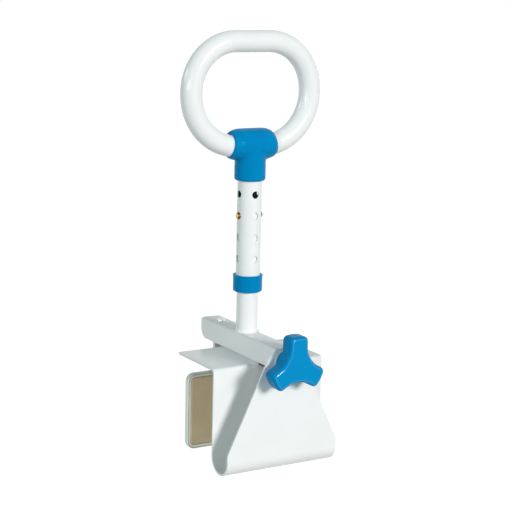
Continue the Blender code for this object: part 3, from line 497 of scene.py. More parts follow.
def rod(radius, low, high, facing=ALONG_Z, centre=(0, 0, 0), steps=48):
    return turned([(0, high), (radius, high), (radius, low), (0, low)], facing, centre, steps=steps)


print("outline helpers ready")


# %% Paths, rims and holes
def run_on(shape, edges, move):
    """Extrude a row of edges straight on, and return the new row."""
    grown = bmesh.ops.extrude_edge_only(shape, edges=edges)["geom"]
    fresh = {item for item in grown if isinstance(item, bmesh.types.BMVert)}
    bmesh.ops.translate(shape, verts=list(fresh), vec=move)
    return [item for item in grown
            if isinstance(item, bmesh.types.BMEdge) and all(end in fresh for end in item.verts)]


def turn_on(shape, edges, centre, axis, angle, steps):
    """Carry a row of edges round a bend, and return the last row."""
    ends = list({end for edge in edges for end in edge.verts})
    last = bmesh.ops.spin(shape, geom=ends + edges, cent=centre, axis=axis, angle=angle, steps=steps)
    return [item for item in last["geom_last"] if isinstance(item, bmesh.types.BMEdge)]


def rim(shape, test):
    """The edges all of whose points pass a test."""
    return [edge for edge in shape.edges if all(test(end.co) for end in edge.verts)]


def bent_strip(corners, low, high, facing, steps):
    """A bent sheet from the (u, v, radius) corners of its side view, with a number of steps for each bend."""
    strip = bmesh.new()
    bends = [strip.verts.new((u, v, low)) for u, v, radius in corners]
    for pair in zip(bends, bends[1:]):
        strip.edges.new(pair)
    for bend, (u, v, radius), count in zip(bends[1:], corners[1:], steps):
        round_off(strip, bend, radius, count)
    bmesh.ops.remove_doubles(strip, verts=strip.verts, dist=SMALLEST)
    run_on(strip, strip.edges[:], (0, 0, high - low))
    bmesh.ops.transform(strip, matrix=facing, verts=strip.verts)
    return strip


def soften(shape, edges, width, segments):
    """Round edges of a shape."""
    bmesh.ops.bevel(shape, geom=edges, offset=width, offset_type="OFFSET", segments=segments,
                    profile=0.5, affect="EDGES", material=-1, clamp_overlap=True)


def inset_front(shape, width, depth):
    """Inset the face that looks along X by a width, then move its inner part on by a depth."""
    face = max(shape.faces, key=lambda item: (item.calc_area() if item.normal.x > 0.99 else 0))
    bmesh.ops.inset_region(shape, faces=[face], thickness=width, depth=0.0, use_even_offset=True)
    bmesh.ops.translate(shape, verts=list(face.verts), vec=(depth, 0, 0))


def piece_from(shape, name):
    """Turn a bmesh into an object at the origin."""
    mesh = bpy.data.meshes.new(name)
    shape.to_mesh(mesh)
    shape.free()
    return add_object(name, mesh)


def settle(piece):
    """Write a piece's modifiers into its mesh."""
    bpy.context.view_layer.update()
    depsgraph = bpy.context.evaluated_depsgraph_get()
    baked = bpy.data.meshes.new_from_object(piece.evaluated_get(depsgraph))
    baked.name = piece.name
    piece.modifiers.clear()
    piece.data = baked
    return piece


def thicken(piece, wall, offset=0.0, even=True):
    """Give a sheet its thickness, half to each side of it, or with an offset of -1 all of it inwards."""
    sheet = piece.modifiers.new("sheet", "SOLIDIFY")
    sheet.thickness, sheet.offset, sheet.use_even_offset = wall, offset, even
    return settle(piece)


def carve(piece, *shapes, operation="DIFFERENCE"):
    """Cut shapes out of a piece, or with UNION join them to it."""
    tools = [piece_from(shape, "tool") for shape in shapes]
    for tool in tools:
        step = piece.modifiers.new("carve", "BOOLEAN")
        step.operation, step.solver, step.object = operation, "EXACT", tool
    settle(piece)
    for tool in tools:
        bpy.data.objects.remove(tool)


def dress(piece, body, surface, slot, *nodes, sharp=35, edge=0.0, even=False, inside=None):
    """Finish a piece: material, shading, edge rounding, body, and the CAD nodes that it stands for.

    Faces all of whose points pass the test inside get unpainted steel in a near-black that is painted shade
    of the hollow.
    """
    mesh = piece.data
    mesh.materials.clear()
    mesh.materials.append(surface)
    if inside:
        mesh.materials.append(BARE_STEEL_AND_PAINTED_SHADE)
    for face in mesh.polygons:
        places = [mesh.vertices[index].co for index in face.vertices]
        face.material_index = int(bool(inside) and all(inside(place) for place in places))
    mesh.shade_smooth()
    mesh.set_sharp_from_angle(angle=math.radians(sharp))
    if edge:
        rounding = piece.modifiers.new("edges", "BEVEL")
        rounding.width, rounding.segments = edge, 3
        rounding.limit_method, rounding.angle_limit = "ANGLE", math.radians(sharp)
        rounding.harden_normals = rounding.use_clamp_overlap = True
    elif even:
        piece.modifiers.new("even", "WEIGHTED_NORMAL").keep_sharp = True
    if body:
        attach(piece, body)
    if nodes:
        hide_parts(*nodes)
    low, high = [Vector(c) for c in (piece.bound_box[0], piece.bound_box[6])]
    print(f"{piece.name}: {len(mesh.polygons)} faces,", [round(c / MM, 1) for c in high - low], "mm")


print("path and hole helpers ready")

# %% [markdown]
# ## The folded bracket
# On the real rail one strip of 2.5 mm sheet is bent three times: the flange that lies on the rim, the back
# plate, the round fold, and the front plate, which tapers to a rounded top that holds the screw. Bending a
# strip along its path is the same order of work as in the shop: draw the side view, round its corners,
# pull it out to the strip's width, and trim the plate's sides. The sheet's thickness comes last.

# %% Bracket
SHEET = 2.5 * MM
HALF_WIDTH = 73 * MM
FLANGE_BACK_X = -35 * MM
FLANGE_Z = 2 * MM  # underside of the flange
BACK_PLATE_X = 52.8 * MM
FOLD_RADIUS = 18.9 * MM
FOLD_BOTTOM = FLANGE_Z - 117.9 * MM
FRONT_PLATE_X = BACK_PLATE_X - SHEET + 2 * FOLD_RADIUS
FRONT_TOP_Z = FLANGE_Z + 28 * MM
TAPER_Z = FLANGE_Z - 90 * MM
SCREW_Z = FLANGE_Z + SHEET + 10 * MM

half_sheet = SHEET / 2
flange_z, back_x, front_x = FLANGE_Z + half_sheet, BACK_PLATE_X - half_sheet, FRONT_PLATE_X - half_sheet
fold_z, fold_radius = FOLD_BOTTOM + half_sheet, FOLD_RADIUS - half_sheet
side_view = [(FLANGE_BACK_X, flange_z, 0.0), (back_x, flange_z, 3.25 * MM), (back_x, fold_z, fold_radius),
             (front_x, fold_z, fold_radius), (front_x, FRONT_TOP_Z, 0.0)]
bracket_shape = bent_strip(side_view, HALF_WIDTH, -HALF_WIDTH, ALONG_Y, steps=(10, 16, 16))
print("strip of", len(bracket_shape.faces), "panels")

# %% Trim the front plate and round its corners
FRONT_TOP_HALF, SCREW_HOLE = 17 * MM, 5.3 * MM
rise, run = FRONT_TOP_Z - TAPER_Z, HALF_WIDTH - FRONT_TOP_HALF
for side in (-1, 1):
    front = [face for face in bracket_shape.faces
             if all(abs(end.co.x - front_x) < SMALLEST for end in face.verts)]
    ends = {end for face in front for end in face.verts}
    edges = {edge for face in front for edge in face.edges}
    bmesh.ops.bisect_plane(bracket_shape, geom=[*ends, *edges, *front], dist=SMALLEST / 10,
                           plane_co=(0, side * HALF_WIDTH, TAPER_Z), plane_no=(0, side * rise, run),
                           clear_outer=True)
for place, radius in (((front_x, FRONT_TOP_HALF, FRONT_TOP_Z), 20 * MM),
                      ((FLANGE_BACK_X, HALF_WIDTH, flange_z), 3 * MM)):
    for side in (-1, 1):
        target = Vector((place[0], side * place[1], place[2]))
        corner = min(bracket_shape.verts, key=lambda end: (end.co - target).length)
        round_off(bracket_shape, corner, radius, 10)
bmesh.ops.recalc_face_normals(bracket_shape, faces=bracket_shape.faces)
bracket = thicken(piece_from(bracket_shape, "folded_bracket"), SHEET)
carve(bracket, rod(SCREW_HOLE, FRONT_PLATE_X - 6 * MM, FRONT_PLATE_X + 3 * MM, ALONG_X, (0, 0, SCREW_Z)))
dress(bracket, "bracket", WHITE_PAINT, "white_paint", "clamp_bracket", edge=0.45 * MM)

# %% [markdown]
# ## The sliding beam
# The beam is a channel, open below, that slides over the flange. It could be bent from sheet like the
# bracket, but it is short and its edges matter most, so it is cut from a block: the section pulled out,
# its tail rounded in side view, and the hollow taken out from below.

# %% Beam
BEAM_BACK_X, BEAM_FRONT_X = -88.3 * MM, 85.3 * MM
BEAM_BOTTOM, BEAM_TOP = 4.8 * MM, 30 * MM
HALF_BEAM = 12.7 * MM
WALL = 2 * MM
RIVET_X = -60 * MM
section = [(-HALF_BEAM, BEAM_BOTTOM, 0.0), (HALF_BEAM, BEAM_BOTTOM, 0.0),
           (HALF_BEAM, BEAM_TOP, 3 * MM), (-HALF_BEAM, BEAM_TOP, 3 * MM)]
hollow = [(-HALF_BEAM + WALL, BEAM_BOTTOM - 3 * MM, 0.0), (HALF_BEAM - WALL, BEAM_BOTTOM - 3 * MM, 0.0),
          (HALF_BEAM - WALL, BEAM_TOP - WALL, 1 * MM), (-HALF_BEAM + WALL, BEAM_TOP - WALL, 1 * MM)]
tail = [(BEAM_BACK_X, BEAM_BOTTOM, 12 * MM), (BEAM_FRONT_X + 20 * MM, BEAM_BOTTOM, 0.0),
        (BEAM_FRONT_X + 20 * MM, BEAM_TOP, 0.0), (BEAM_BACK_X, BEAM_TOP, 3 * MM)]
beam = piece_from(slab(section, BEAM_BACK_X - 1 * MM, BEAM_FRONT_X, ALONG_X), "beam_channel")
carve(beam, slab(tail, -20 * MM, 20 * MM, ALONG_Y, steps=12), operation="INTERSECT")
carve(beam, slab(hollow, BEAM_BACK_X + WALL, BEAM_FRONT_X + 5 * MM, ALONG_X),
      rod(3.3 * MM, BEAM_TOP - 6 * MM, BEAM_TOP + 3 * MM, centre=(RIVET_X, 0, 0)))
lining = WALL - SPARE
# The beam's inside gets the near-black steel: painted shade of the channel.
dress(beam, "beam", WHITE_PAINT, "white_paint", "slide_beam", edge=0.5 * MM,
      inside=lambda place: (abs(place.y) < HALF_BEAM - lining and place.z < BEAM_TOP - lining
                            and place.x > BEAM_BACK_X + lining))

# %% Rivet on the beam
head_low, seat, shank_low = BEAM_TOP + 0.3 * MM, BEAM_TOP + 0.05 * MM, 18.8 * MM
rivet = piece_from(turned([
    (0, head_low + 2.5 * MM), (3.6 * MM, head_low + 2.3 * MM, 3 * MM),
    (5.4 * MM, head_low + 0.9 * MM, 1 * MM), (5.4 * MM, seat), (3 * MM, seat), (3 * MM, shank_low),
    (0, shank_low),
], centre=(RIVET_X, 0, 0)), "beam_rivet")
dress(rivet, "beam", BRIGHT_RIVET, "white_paint", "hanger_rivet", sharp=50)

# %% [markdown]
# Where the flange bends down, a short dark strip with a round nose lies under the beam's two lower edges.
# It lies against the bend from above, so its side view follows the sheet.

# %% Slide strip
strip_top, strip_low = BEAM_BOTTOM - 0.1 * MM, BEAM_BOTTOM - 2.1 * MM
strip_side = [(46 * MM, strip_top, 0.0), (46 * MM, strip_top - 0.15 * MM, 0.0),
              (48.3 * MM, strip_top - 0.15 * MM, 0.0), (50.5 * MM, strip_top - 0.65 * MM, 0.0),
              (51.8 * MM, strip_low, 0.0), (64 * MM, strip_low, 0.9 * MM), (64 * MM, strip_top, 0.6 * MM)]
strip = piece_from(slab(strip_side, -HALF_BEAM, HALF_BEAM, ALONG_Y, steps=4), "slide_strip")
dress(strip, "bracket", BLACK_RUBBER, "black_rubber")

# %% [markdown]
# ## The jaw
# The jaw is a pan pressed from sheet with a cushion of tan rubber foam in it. Its rim has an outer and an
# inner crest with a fine groove between, as a folded edge has. Insetting the pan's front face gives the
# two rings at once, and the groove is the ring between them pushed back.

# %% Jaw pan
JAW_BACK_X, JAW_FRONT_X = -57.3 * MM, -49 * MM
JAW_HALF, JAW_TOP_Z, JAW_LOW_Z = 51 * MM, -29.6 * MM, -124 * MM
JAW_RIVETS_Z = JAW_TOP_Z - 24 * MM, JAW_LOW_Z + 24 * MM
pan_shape = slab(box_outline(-JAW_HALF, JAW_HALF, JAW_LOW_Z, JAW_TOP_Z, 10 * MM), JAW_BACK_X, JAW_FRONT_X,
                 ALONG_X, steps=12)
soften(pan_shape, rim(pan_shape, lambda place: place.x < JAW_BACK_X + SMALLEST), 2.2 * MM, 5)
soften(pan_shape, rim(pan_shape, lambda place: place.x > JAW_FRONT_X - SMALLEST), 0.7 * MM, 4)
RIM_RINGS = (0.35, 0), (0.2, -1.2), (0.6, 0), (0.2, 1), (2.2, 0), (0.3, -0.35), (0.02, -6.1)
for width, depth in RIM_RINGS:  # in millimetres, from the outer crest to the pan's floor
    inset_front(pan_shape, width * MM, depth * MM)
pan = piece_from(clean(pan_shape), "jaw_shell")
carve(pan, *[rod(2.8 * MM, JAW_BACK_X - 3 * MM, JAW_BACK_X + 3.5 * MM, ALONG_X, (0, 0, z))
             for z in JAW_RIVETS_Z])


def pan_coat(finish):
    """The pan in a duller white as painted shade of its walls, and a bright cream front crest as a painted
    highlight.
    """
    sockets = powder_coat(finish)
    cloud = finish.noise(35, 3).above(0.5, 0.5)
    # painted shade: the pan's walls get a duller grey-green white than the bent parts
    shaded_wall_colour = finish.blend(cloud, (0.575, 0.605, 0.560), (0.610, 0.640, 0.595))
    # painted highlight: the front crest gets a bright cream
    crest = finish.along_x().above(JAW_FRONT_X - 0.45 * MM, 0.2 * MM)
    sockets["Base Color"] = finish.blend(crest, shaded_wall_colour, (0.88, 0.86, 0.77))
    sockets["Roughness"] = 0.30 + 0.10 * cloud
    return sockets


dress(pan, "beam", coating("pan_paint", pan_coat), "white_paint", "jaw_pan", sharp=40, even=True)

# %% Jaw pad
PAD_BACK_X, PAD_FRONT_X = -55.5 * MM, -48.8 * MM
inset, curve = 5 * MM, 5 * MM
half, low_z, top_z = JAW_HALF - inset, JAW_LOW_Z + inset, JAW_TOP_Z - inset
pad_shape = slab(box_outline(-half, half, low_z, top_z, curve), PAD_BACK_X, PAD_FRONT_X, ALONG_X, steps=12)
soften(pad_shape, rim(pad_shape, lambda place: place.x > PAD_FRONT_X - SMALLEST), 1 * MM, 6)
pad = piece_from(pad_shape, "jaw_cushion")
carve(pad, *[rod(5.3 * MM, JAW_BACK_X, JAW_BACK_X + 3.6 * MM, ALONG_X, (0, 0, z))
             for z in JAW_RIVETS_Z])
dress(pad, "beam", TAN_RUBBER, "tan_rubber", "jaw_pad", sharp=40, even=True)

# %% [markdown]
# ## Stem
# Two tubes slide in each other. The inner one is welded to the beam, with a small fillet of weld at its
# foot. The outer one has four rows of holes on four sides, and a snap button stands in one row. Tubes are
# turned, because a spun profile keeps both walls and all the small edges true.

# %% Tubes
STEM_RADIUS, STEM_TOP = 12.7 * MM, 182.1 * MM
STEM_BORE = STEM_RADIUS - 1.5 * MM
BUTTON_HOLE, PITCH = 4.3 * MM, 25.4 * MM
inner_tube = piece_from(turned([
    (STEM_RADIUS, STEM_TOP, 0.3 * MM), (STEM_RADIUS, 34 * MM, 3 * MM),
    (STEM_RADIUS + 0.9 * MM, 31.2 * MM, 1.8 * MM), (STEM_RADIUS + 2.4 * MM, 30.1 * MM),
    (STEM_BORE, 30.3 * MM), (STEM_BORE, STEM_TOP),
], closed=True, steps=72), "inner_tube")
carve(inner_tube, rod(BUTTON_HOLE, -15 * MM, 15 * MM, ALONG_Y, (0, 0, BUTTON_Z)))
# The bore gets the near-black steel: painted shade inside the tube.
dress(inner_tube, "beam", WHITE_PAINT, "white_paint", "lower_stem",
      inside=lambda place: math.hypot(place.x, place.y) < STEM_BORE + SPARE)

OUTER_RADIUS, TUBE_WALL, OUTER_LOW, OUTER_HIGH = 14.3 * MM, 1.2 * MM, 82 * MM, 235 * MM
OUTER_BORE = OUTER_RADIUS - TUBE_WALL
TAPPING_HOLE, SLEEVE_SCREW_Z = 2.3 * MM, 222.4 * MM
outer_tube = piece_from(turned([
    (OUTER_RADIUS, OUTER_HIGH), (OUTER_RADIUS, OUTER_LOW), (OUTER_BORE, OUTER_LOW), (OUTER_BORE, OUTER_HIGH),
], closed=True, steps=72), "outer_tube")
drills = [rod(BUTTON_HOLE, -18 * MM, 18 * MM, facing, (0, 0, BUTTON_Z + row * PITCH))
          for row in (1, 0, -1, -2) for facing in (ALONG_X, ALONG_Y)]
drills.append(rod(TAPPING_HOLE, -25 * MM, 0, ALONG_X, (0, 0, SLEEVE_SCREW_Z)))
carve(outer_tube, *drills)
# The bore gets the near-black steel: painted shade inside the tube.
dress(outer_tube, "handle", WHITE_PAINT, "white_paint", "upper_stem", edge=0.25 * MM,
      inside=lambda place: math.hypot(place.x, place.y) < OUTER_BORE + SPARE)

# %% Collar and snap buttons
COLLAR_LOW = 79 * MM
collar = piece_from(turned([
    (17.3 * MM, 99 * MM, 0.3 * MM), (17.7 * MM, 98.6 * MM, 0.4 * MM), (17.7 * MM, 97.4 * MM, 0.4 * MM),
    (17.3 * MM, 97 * MM, 0.2 * MM), (17.3 * MM, COLLAR_LOW, 2 * MM), (13 * MM, COLLAR_LOW, 0.4 * MM),
    (13 * MM, 81.7 * MM), (14.6 * MM, 81.7 * MM), (14.6 * MM, 99 * MM, 0.4 * MM),
], closed=True, steps=96), "collar_ring")
dress(collar, "collar", BLUE_PLASTIC, "blue_plastic", "stem_collar")

BUTTONS = (-1, "button_left"), (1, "button_right")
flange, foot = 9.7 * MM, 8.7 * MM
for side, node in BUTTONS:
    button = turned([(0, 17.4 * MM), (2.8 * MM, 17.1 * MM, 2.6 * MM), (4.1 * MM, 15 * MM, 1.6 * MM),
                     (4.1 * MM, flange), (5 * MM, flange), (5 * MM, foot), (0, foot)],
                    Matrix.Rotation(-side * math.pi / 2, 4, "X"), (0, 0, BUTTON_Z), steps=32)
    dress(piece_from(button, "snap_" + node), node, BRASS, "brass", node, sharp=50)

# %% [markdown]
# The buttons stand on the two legs of a leaf spring bent into a V inside the inner tube. Each leg is made
# as its own half. On the real rail each leg bends inwards with its button while its foot stays with the tube.

# %% Snap spring
SPRING_LEG, SPRING_FOOT, SPRING_KNEE = 8.12 * MM, BUTTON_Z - 43 * MM, BUTTON_Z - 5 * MM
for side, node in BUTTONS:
    course = [(0, SPRING_FOOT, 0.0), (side * 3.4 * MM, SPRING_FOOT, 2.8 * MM),
              (side * SPRING_LEG, SPRING_KNEE, 12 * MM), (side * SPRING_LEG, BUTTON_Z + 4 * MM, 0.0)]
    leaf = clean(bent_strip(course, -3.5 * MM, 3.5 * MM, ALONG_X, steps=(10, 8)))
    leg = thicken(piece_from(leaf, "spring_leg" + node.removeprefix("button")), 0.6 * MM)
    dress(leg, None, SPRING_STEEL, "spring_steel", "snap_spring", sharp=40)
    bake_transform(leg)

# %% [markdown]
# ## Ring handle and tee
# The handle is one tube bent into a rounded ring whose two ends meet inside the tee. A circle is carried
# along the path: straight, round the lower bend, straight, and round the upper bend to the middle. The
# mirror makes the other half, so both sides are sure to match.

# %% Ring
RING_Z, RING_HALF, TUBE_RADIUS = 250.6 * MM, 78.7 * MM, 12.7 * MM  # to the middle of the tube
LOWER_BEND, UPPER_BEND = 61 * MM, 57 * MM
LOWER_Y, UPPER_Y = RING_HALF - LOWER_BEND, RING_HALF - UPPER_BEND
START_Y, UPRIGHT = 2 * MM, 2 * MM
bend_z = RING_Z + LOWER_BEND
ring_shape = bmesh.new()
bmesh.ops.create_circle(ring_shape, segments=56, radius=TUBE_RADIUS,
                        matrix=Matrix.Translation((0, START_Y, RING_Z)) @ ALONG_Y)
row = run_on(ring_shape, ring_shape.edges[:], (0, LOWER_Y - START_Y, 0))
row = turn_on(ring_shape, row, (0, LOWER_Y, bend_z), (1, 0, 0), math.pi / 2, 28)
row = run_on(ring_shape, row, (0, 0, UPRIGHT))
row = turn_on(ring_shape, row, (0, UPPER_Y, bend_z + UPRIGHT), (1, 0, 0), math.pi / 2, 26)
run_on(ring_shape, row, (0, -UPPER_Y, 0))
bmesh.ops.mirror(ring_shape, geom=ring_shape.verts[:] + ring_shape.edges[:] + ring_shape.faces[:],
                 matrix=Matrix.Identity(4), merge_dist=SMALLEST, axis="Y")
ring = thicken(piece_from(clean(ring_shape), "ring_tube"), TUBE_WALL, offset=-1.0, even=False)
RING_SCREWS_Y = -11 * MM, 11 * MM
carve(ring, *[rod(TAPPING_HOLE, -22 * MM, 0, ALONG_X, (0, y, RING_Z)) for y in RING_SCREWS_Y])
dress(ring, "handle", WHITE_PAINT, "white_paint", "handle_ring")

# %% [markdown]
# The tee is moulded, so its arms flow into its sleeve. Two turned shapes are joined, the joined shape gets
# an even skin of small faces from a voxel remesh, and the corner between arm and sleeve is smoothed until
# it is a fillet. The arms are turned straight and then bent along the ring.

# %% Tee
ARM_HALF, MIDDLE_RADIUS, MOUTH_RADIUS, RAISE = 28.3 * MM, 18.8 * MM, 15 * MM, 1.8 * MM
arm_length = LOWER_Y + LOWER_BEND * math.asin((ARM_HALF - LOWER_Y) / LOWER_BEND)


def follow_ring(shape, raised=0.0):
    """Bend a shape that was made straight along Y so that it follows the ring's lower bend."""
    for point in shape.verts:
        past = max(0.0, abs(point.co.y) - LOWER_Y)
        angle = past / LOWER_BEND
        reach = LOWER_BEND - point.co.z
        if past:
            point.co.y = math.copysign(LOWER_Y + reach * math.sin(angle), point.co.y)
            point.co.z = LOWER_BEND - reach * math.cos(angle)
        point.co.z += RING_Z + raised
    return shape


arm_profile = [(0, arm_length)]
for k in range(25):
    t = 1 - k / 12
    radius = MIDDLE_RADIUS - (MIDDLE_RADIUS - MOUTH_RADIUS) * abs(t) ** 5
    arm_profile.append((radius, t * arm_length, *([1.2 * MM] if abs(t) == 1 else [])))
arm_profile.append((0, -arm_length))
arms = follow_ring(turned(arm_profile, Matrix.Rotation(-math.pi / 2, 4, "X"), steps=64), RAISE)
tee = piece_from(arms, "tee_moulding")
SLEEVE_LOW, SLEEVE_RADIUS = 210.4 * MM, 18.3 * MM
sleeve = turned([(0, RING_Z), (SLEEVE_RADIUS, RING_Z), (SLEEVE_RADIUS, SLEEVE_LOW, 3 * MM), (0, SLEEVE_LOW)],
                steps=64)
carve(tee, sleeve, operation="UNION")
skin = tee.modifiers.new("skin", "REMESH")
skin.mode, skin.voxel_size = "VOXEL", 0.7 * MM
settle(tee)
tee_shape = bmesh.new()
tee_shape.from_mesh(tee.data)
joint = [point for point in tee_shape.verts
         if RING_Z - 24 * MM < point.co.z < RING_Z - 6 * MM and abs(point.co.y) < 25 * MM]
print("fillet of", len(joint), "points")
for points in [joint] * 40 + [tee_shape.verts]:
    bmesh.ops.smooth_vert(tee_shape, verts=points, factor=0.5,
                          use_axis_x=True, use_axis_y=True, use_axis_z=True)
tee_shape.to_mesh(tee.data)
tee_shape.free()

# %% Bores of the tee
ring_bore = follow_ring(turned([(0, 45 * MM)] + [(13 * MM, (45 - 3 * k) * MM) for k in range(31)]
                               + [(0, -45 * MM)], Matrix.Rotation(-math.pi / 2, 4, "X"), steps=56))
stem_bore = rod(14.6 * MM, SLEEVE_LOW - 3 * MM, OUTER_HIGH + 0.3 * MM, steps=72)


def screw_seat(y, z, surface):
    """A stepped hole from the back that takes a screw's head below the surface."""
    sink, outside, head_radius = 3 * MM - surface, -surface - 3 * MM, 3.8 * MM
    return turned([(0, 0), (TAPPING_HOLE, 0), (TAPPING_HOLE, sink), (head_radius, sink),
                   (head_radius, outside), (0, outside)], ALONG_X, (0, y, z), steps=32)


carve(tee, ring_bore, stem_bore, screw_seat(0, SLEEVE_SCREW_Z, SLEEVE_RADIUS),
      *[screw_seat(y, RING_Z, MIDDLE_RADIUS) for y in RING_SCREWS_Y])
dress(tee, "handle", BLUE_PLASTIC, "blue_plastic", "handle_tee", sharp=45)

# %% Tapping screws
on_ring = RING_Z, MIDDLE_RADIUS, TUBE_RADIUS - TUBE_WALL
for node, y, z, surface, bore in (("ring_screw_left", RING_SCREWS_Y[0], *on_ring),
                                  ("ring_screw_right", RING_SCREWS_Y[1], *on_ring),
                                  ("sleeve_screw", 0.0, SLEEVE_SCREW_Z, SLEEVE_RADIUS, OUTER_BORE)):
    under, tip = 2.7 * MM - surface, 4 * MM - bore
    top = under - 2 * MM
    tapper = piece_from(turned([(0, tip), (2 * MM, tip - 2 * MM), (2 * MM, under), (3.5 * MM, under),
                                (3.5 * MM, under - 1.4 * MM, 0.9 * MM), (1.6 * MM, top, 0.8 * MM), (0, top)],
                               ALONG_X, (0, y, z), steps=32), "tapping_" + node)
    carve(tapper, *[slab(box_outline(y - a * MM, y + a * MM, z - b * MM, z + b * MM), under - 3 * MM,
                          under - 1.1 * MM, ALONG_X) for a, b in ((1.9, 0.35), (0.35, 1.9))])
    dress(tapper, "handle", ZINC, "zinc_plate", node, sharp=40)

# %% [markdown]
# ## Knob and clamp screw
# The knob has three lobes, one up, and a round hub towards the bracket. Its outline is drawn once from
# twelve corners, rounded with the radii of the tips and the valleys between, and pulled to its thickness.
# A hand turns it, so its side rolls over in a wide curve and meets the face in a crest that catches the
# light. Each step of that curve is one inset of the face. The face is left plain.

# %% Knob
def on_screw(profile, steps, closed=False):
    """A piece turned about the screw's axis."""
    return turned(profile, ALONG_X, (0, 0, SCREW_Z), closed, steps)


WASHER_X = FRONT_PLATE_X + 0.3 * MM
HUB_X = WASHER_X + 2.5 * MM
LOBES_X = HUB_X + 8.7 * MM
KNOB_THICK = 19.4 * MM
half_lobe = 11.9 * MM
dip = half_lobe / math.sin(math.pi / 3)
knob_corners = []
for lobe in range(3):
    aim = math.pi / 2 + math.tau * lobe / 3
    along, across = Vector((math.cos(aim), math.sin(aim))), Vector((-math.sin(aim), math.cos(aim)))
    for reach, aside, radius in ((34.0, -1, 5.7), (35.0, 0, 30.0), (34.0, 1, 5.7)):
        knob_corners.append((*(along * reach * MM + across * aside * half_lobe), radius * MM))
    valley = aim + math.pi / 3
    knob_corners.append((dip * math.cos(valley), dip * math.sin(valley), 26.6 * MM))
rollover = []  # (inwards, outwards) steps from the side of the knob to its face
for start, stop, radius, count in ((90, 45, 4.5, 8), (45, 45, 0.0, 1), (45, 0, 3.0, 8)):
    for k in range(count):
        middle = math.radians(start + (stop - start) * (k + 0.5) / count)
        length = math.radians(start - stop) / count * radius or 0.8
        rollover.append((length * math.cos(middle) * MM, length * math.sin(middle) * MM))
face_depth = sum(outwards for inwards, outwards in rollover)
knob_shape = slab(knob_corners, LOBES_X, LOBES_X + KNOB_THICK - face_depth, ALONG_X)
for inwards, outwards in rollover:
    inset_front(knob_shape, inwards, outwards)
soften(knob_shape, rim(knob_shape, lambda place: abs(place.x - LOBES_X) < SMALLEST), 2.5 * MM, 6)
bmesh.ops.translate(knob_shape, verts=knob_shape.verts, vec=(0, 0, SCREW_Z))
knob = piece_from(clean(knob_shape), "clamp_knob")
HUB_RADIUS, hub_end = 14.2 * MM, LOBES_X + 3 * MM
hub = on_screw([(0, hub_end), (HUB_RADIUS, hub_end), (HUB_RADIUS, HUB_X, 0.8 * MM), (0, HUB_X)], 72)
carve(knob, hub, operation="UNION")
carve(knob, slab(hexagon(8.3 * MM, SCREW_Z), HUB_X - 3 * MM, HUB_X + 6.7 * MM, ALONG_X))


def knob_moulding(finish):
    """Blue moulding with painted light that makes the face lighter; hands have polished the crest round it.
    """
    sockets = blue_moulding(finish)
    along, face_x = finish.along_x(), LOBES_X + KNOB_THICK
    flow = finish.noise(60, 3)
    # painted light: the face and the edge round it are made a lighter blue, as the lit side of the knob
    painted_light_face = finish.blend(flow, (0.0026, 0.255, 0.556), (0.0038, 0.282, 0.600))
    lit_face_mask = along.above(face_x - 1.2 * MM, 1.6 * MM)
    sockets["Base Color"] = finish.blend(lit_face_mask, sockets["Base Color"], painted_light_face)
    within = 1.0 - along.above(face_x - 0.04 * MM, 0.05 * MM)
    sockets["Coat Weight"] = along.above(face_x - 0.42 * MM, 0.16 * MM) * within
    sockets["Coat Roughness"] = 0.10
    return sockets


dress(knob, "screw", coating("knob_plastic", knob_moulding), "blue_plastic", "knob", sharp=40, even=True)

# %% Washer
WASHER_RADIUS, washer_end = 14.7 * MM, WASHER_X + 2.2 * MM
washer = on_screw([(WASHER_RADIUS, washer_end, 0.4 * MM), (WASHER_RADIUS, WASHER_X, 0.4 * MM),
                   (SCREW_HOLE, WASHER_X), (SCREW_HOLE, washer_end)], 72, closed=True)
dress(piece_from(washer, "nylon_washer"), "screw", NYLON, "nylon", "thrust_washer")

# %% [markdown]
# The clamp screw is an M10 with a real thread where the nut runs. One tooth of the thread is a short line;
# spinning it about the axis while it moves on by one pitch a turn lays down the whole helix.

# %% Clamp screw
THREAD_LOW, THREAD_HIGH, THREAD_PITCH = 21 * MM, 83 * MM, 1.5 * MM
tooth_steps = 20
thread = bmesh.new()
tooth = [thread.verts.new((radius * MM, 0, height * MM)) for radius, height in
         ((4.15, 0.0), (5.0, 0.62), (5.0, 0.80), (4.15, 1.42), (4.15, 1.5))]
links = [thread.edges.new(pair) for pair in zip(tooth, tooth[1:])]
turns = math.ceil((THREAD_HIGH - THREAD_LOW) / THREAD_PITCH) + 2
bmesh.ops.translate(thread, verts=thread.verts, vec=(0, 0, THREAD_LOW - THREAD_PITCH))
bmesh.ops.spin(thread, geom=tooth + links, cent=(0, 0, 0), axis=(0, 0, 1),
               dvec=(0, 0, THREAD_PITCH / tooth_steps), angle=math.tau * turns, steps=tooth_steps * turns)
bmesh.ops.remove_doubles(thread, verts=thread.verts, dist=0.01 * MM)
for height, way in ((THREAD_LOW, -1), (THREAD_HIGH, 1)):
    bmesh.ops.bisect_plane(thread, geom=thread.verts[:] + thread.edges[:] + thread.faces[:],
                           dist=SMALLEST, plane_co=(0, 0, height), plane_no=(0, 0, way), clear_outer=True)
bmesh.ops.holes_fill(thread, edges=[edge for edge in thread.edges if len(edge.link_faces) == 1], sides=0)
bmesh.ops.transform(thread, matrix=Matrix.Translation((0, 0, SCREW_Z)) @ ALONG_X, verts=thread.verts)
screw = piece_from(clean(thread), "threaded_screw")
SCREW_RADIUS, CORE_RADIUS, GROOVE_RADIUS = 5 * MM, 4.15 * MM, 4 * MM
in_head, groove_end, groove, shaft_low = HUB_X + 6.1 * MM, 85.45 * MM, 83.95 * MM, 82.5 * MM
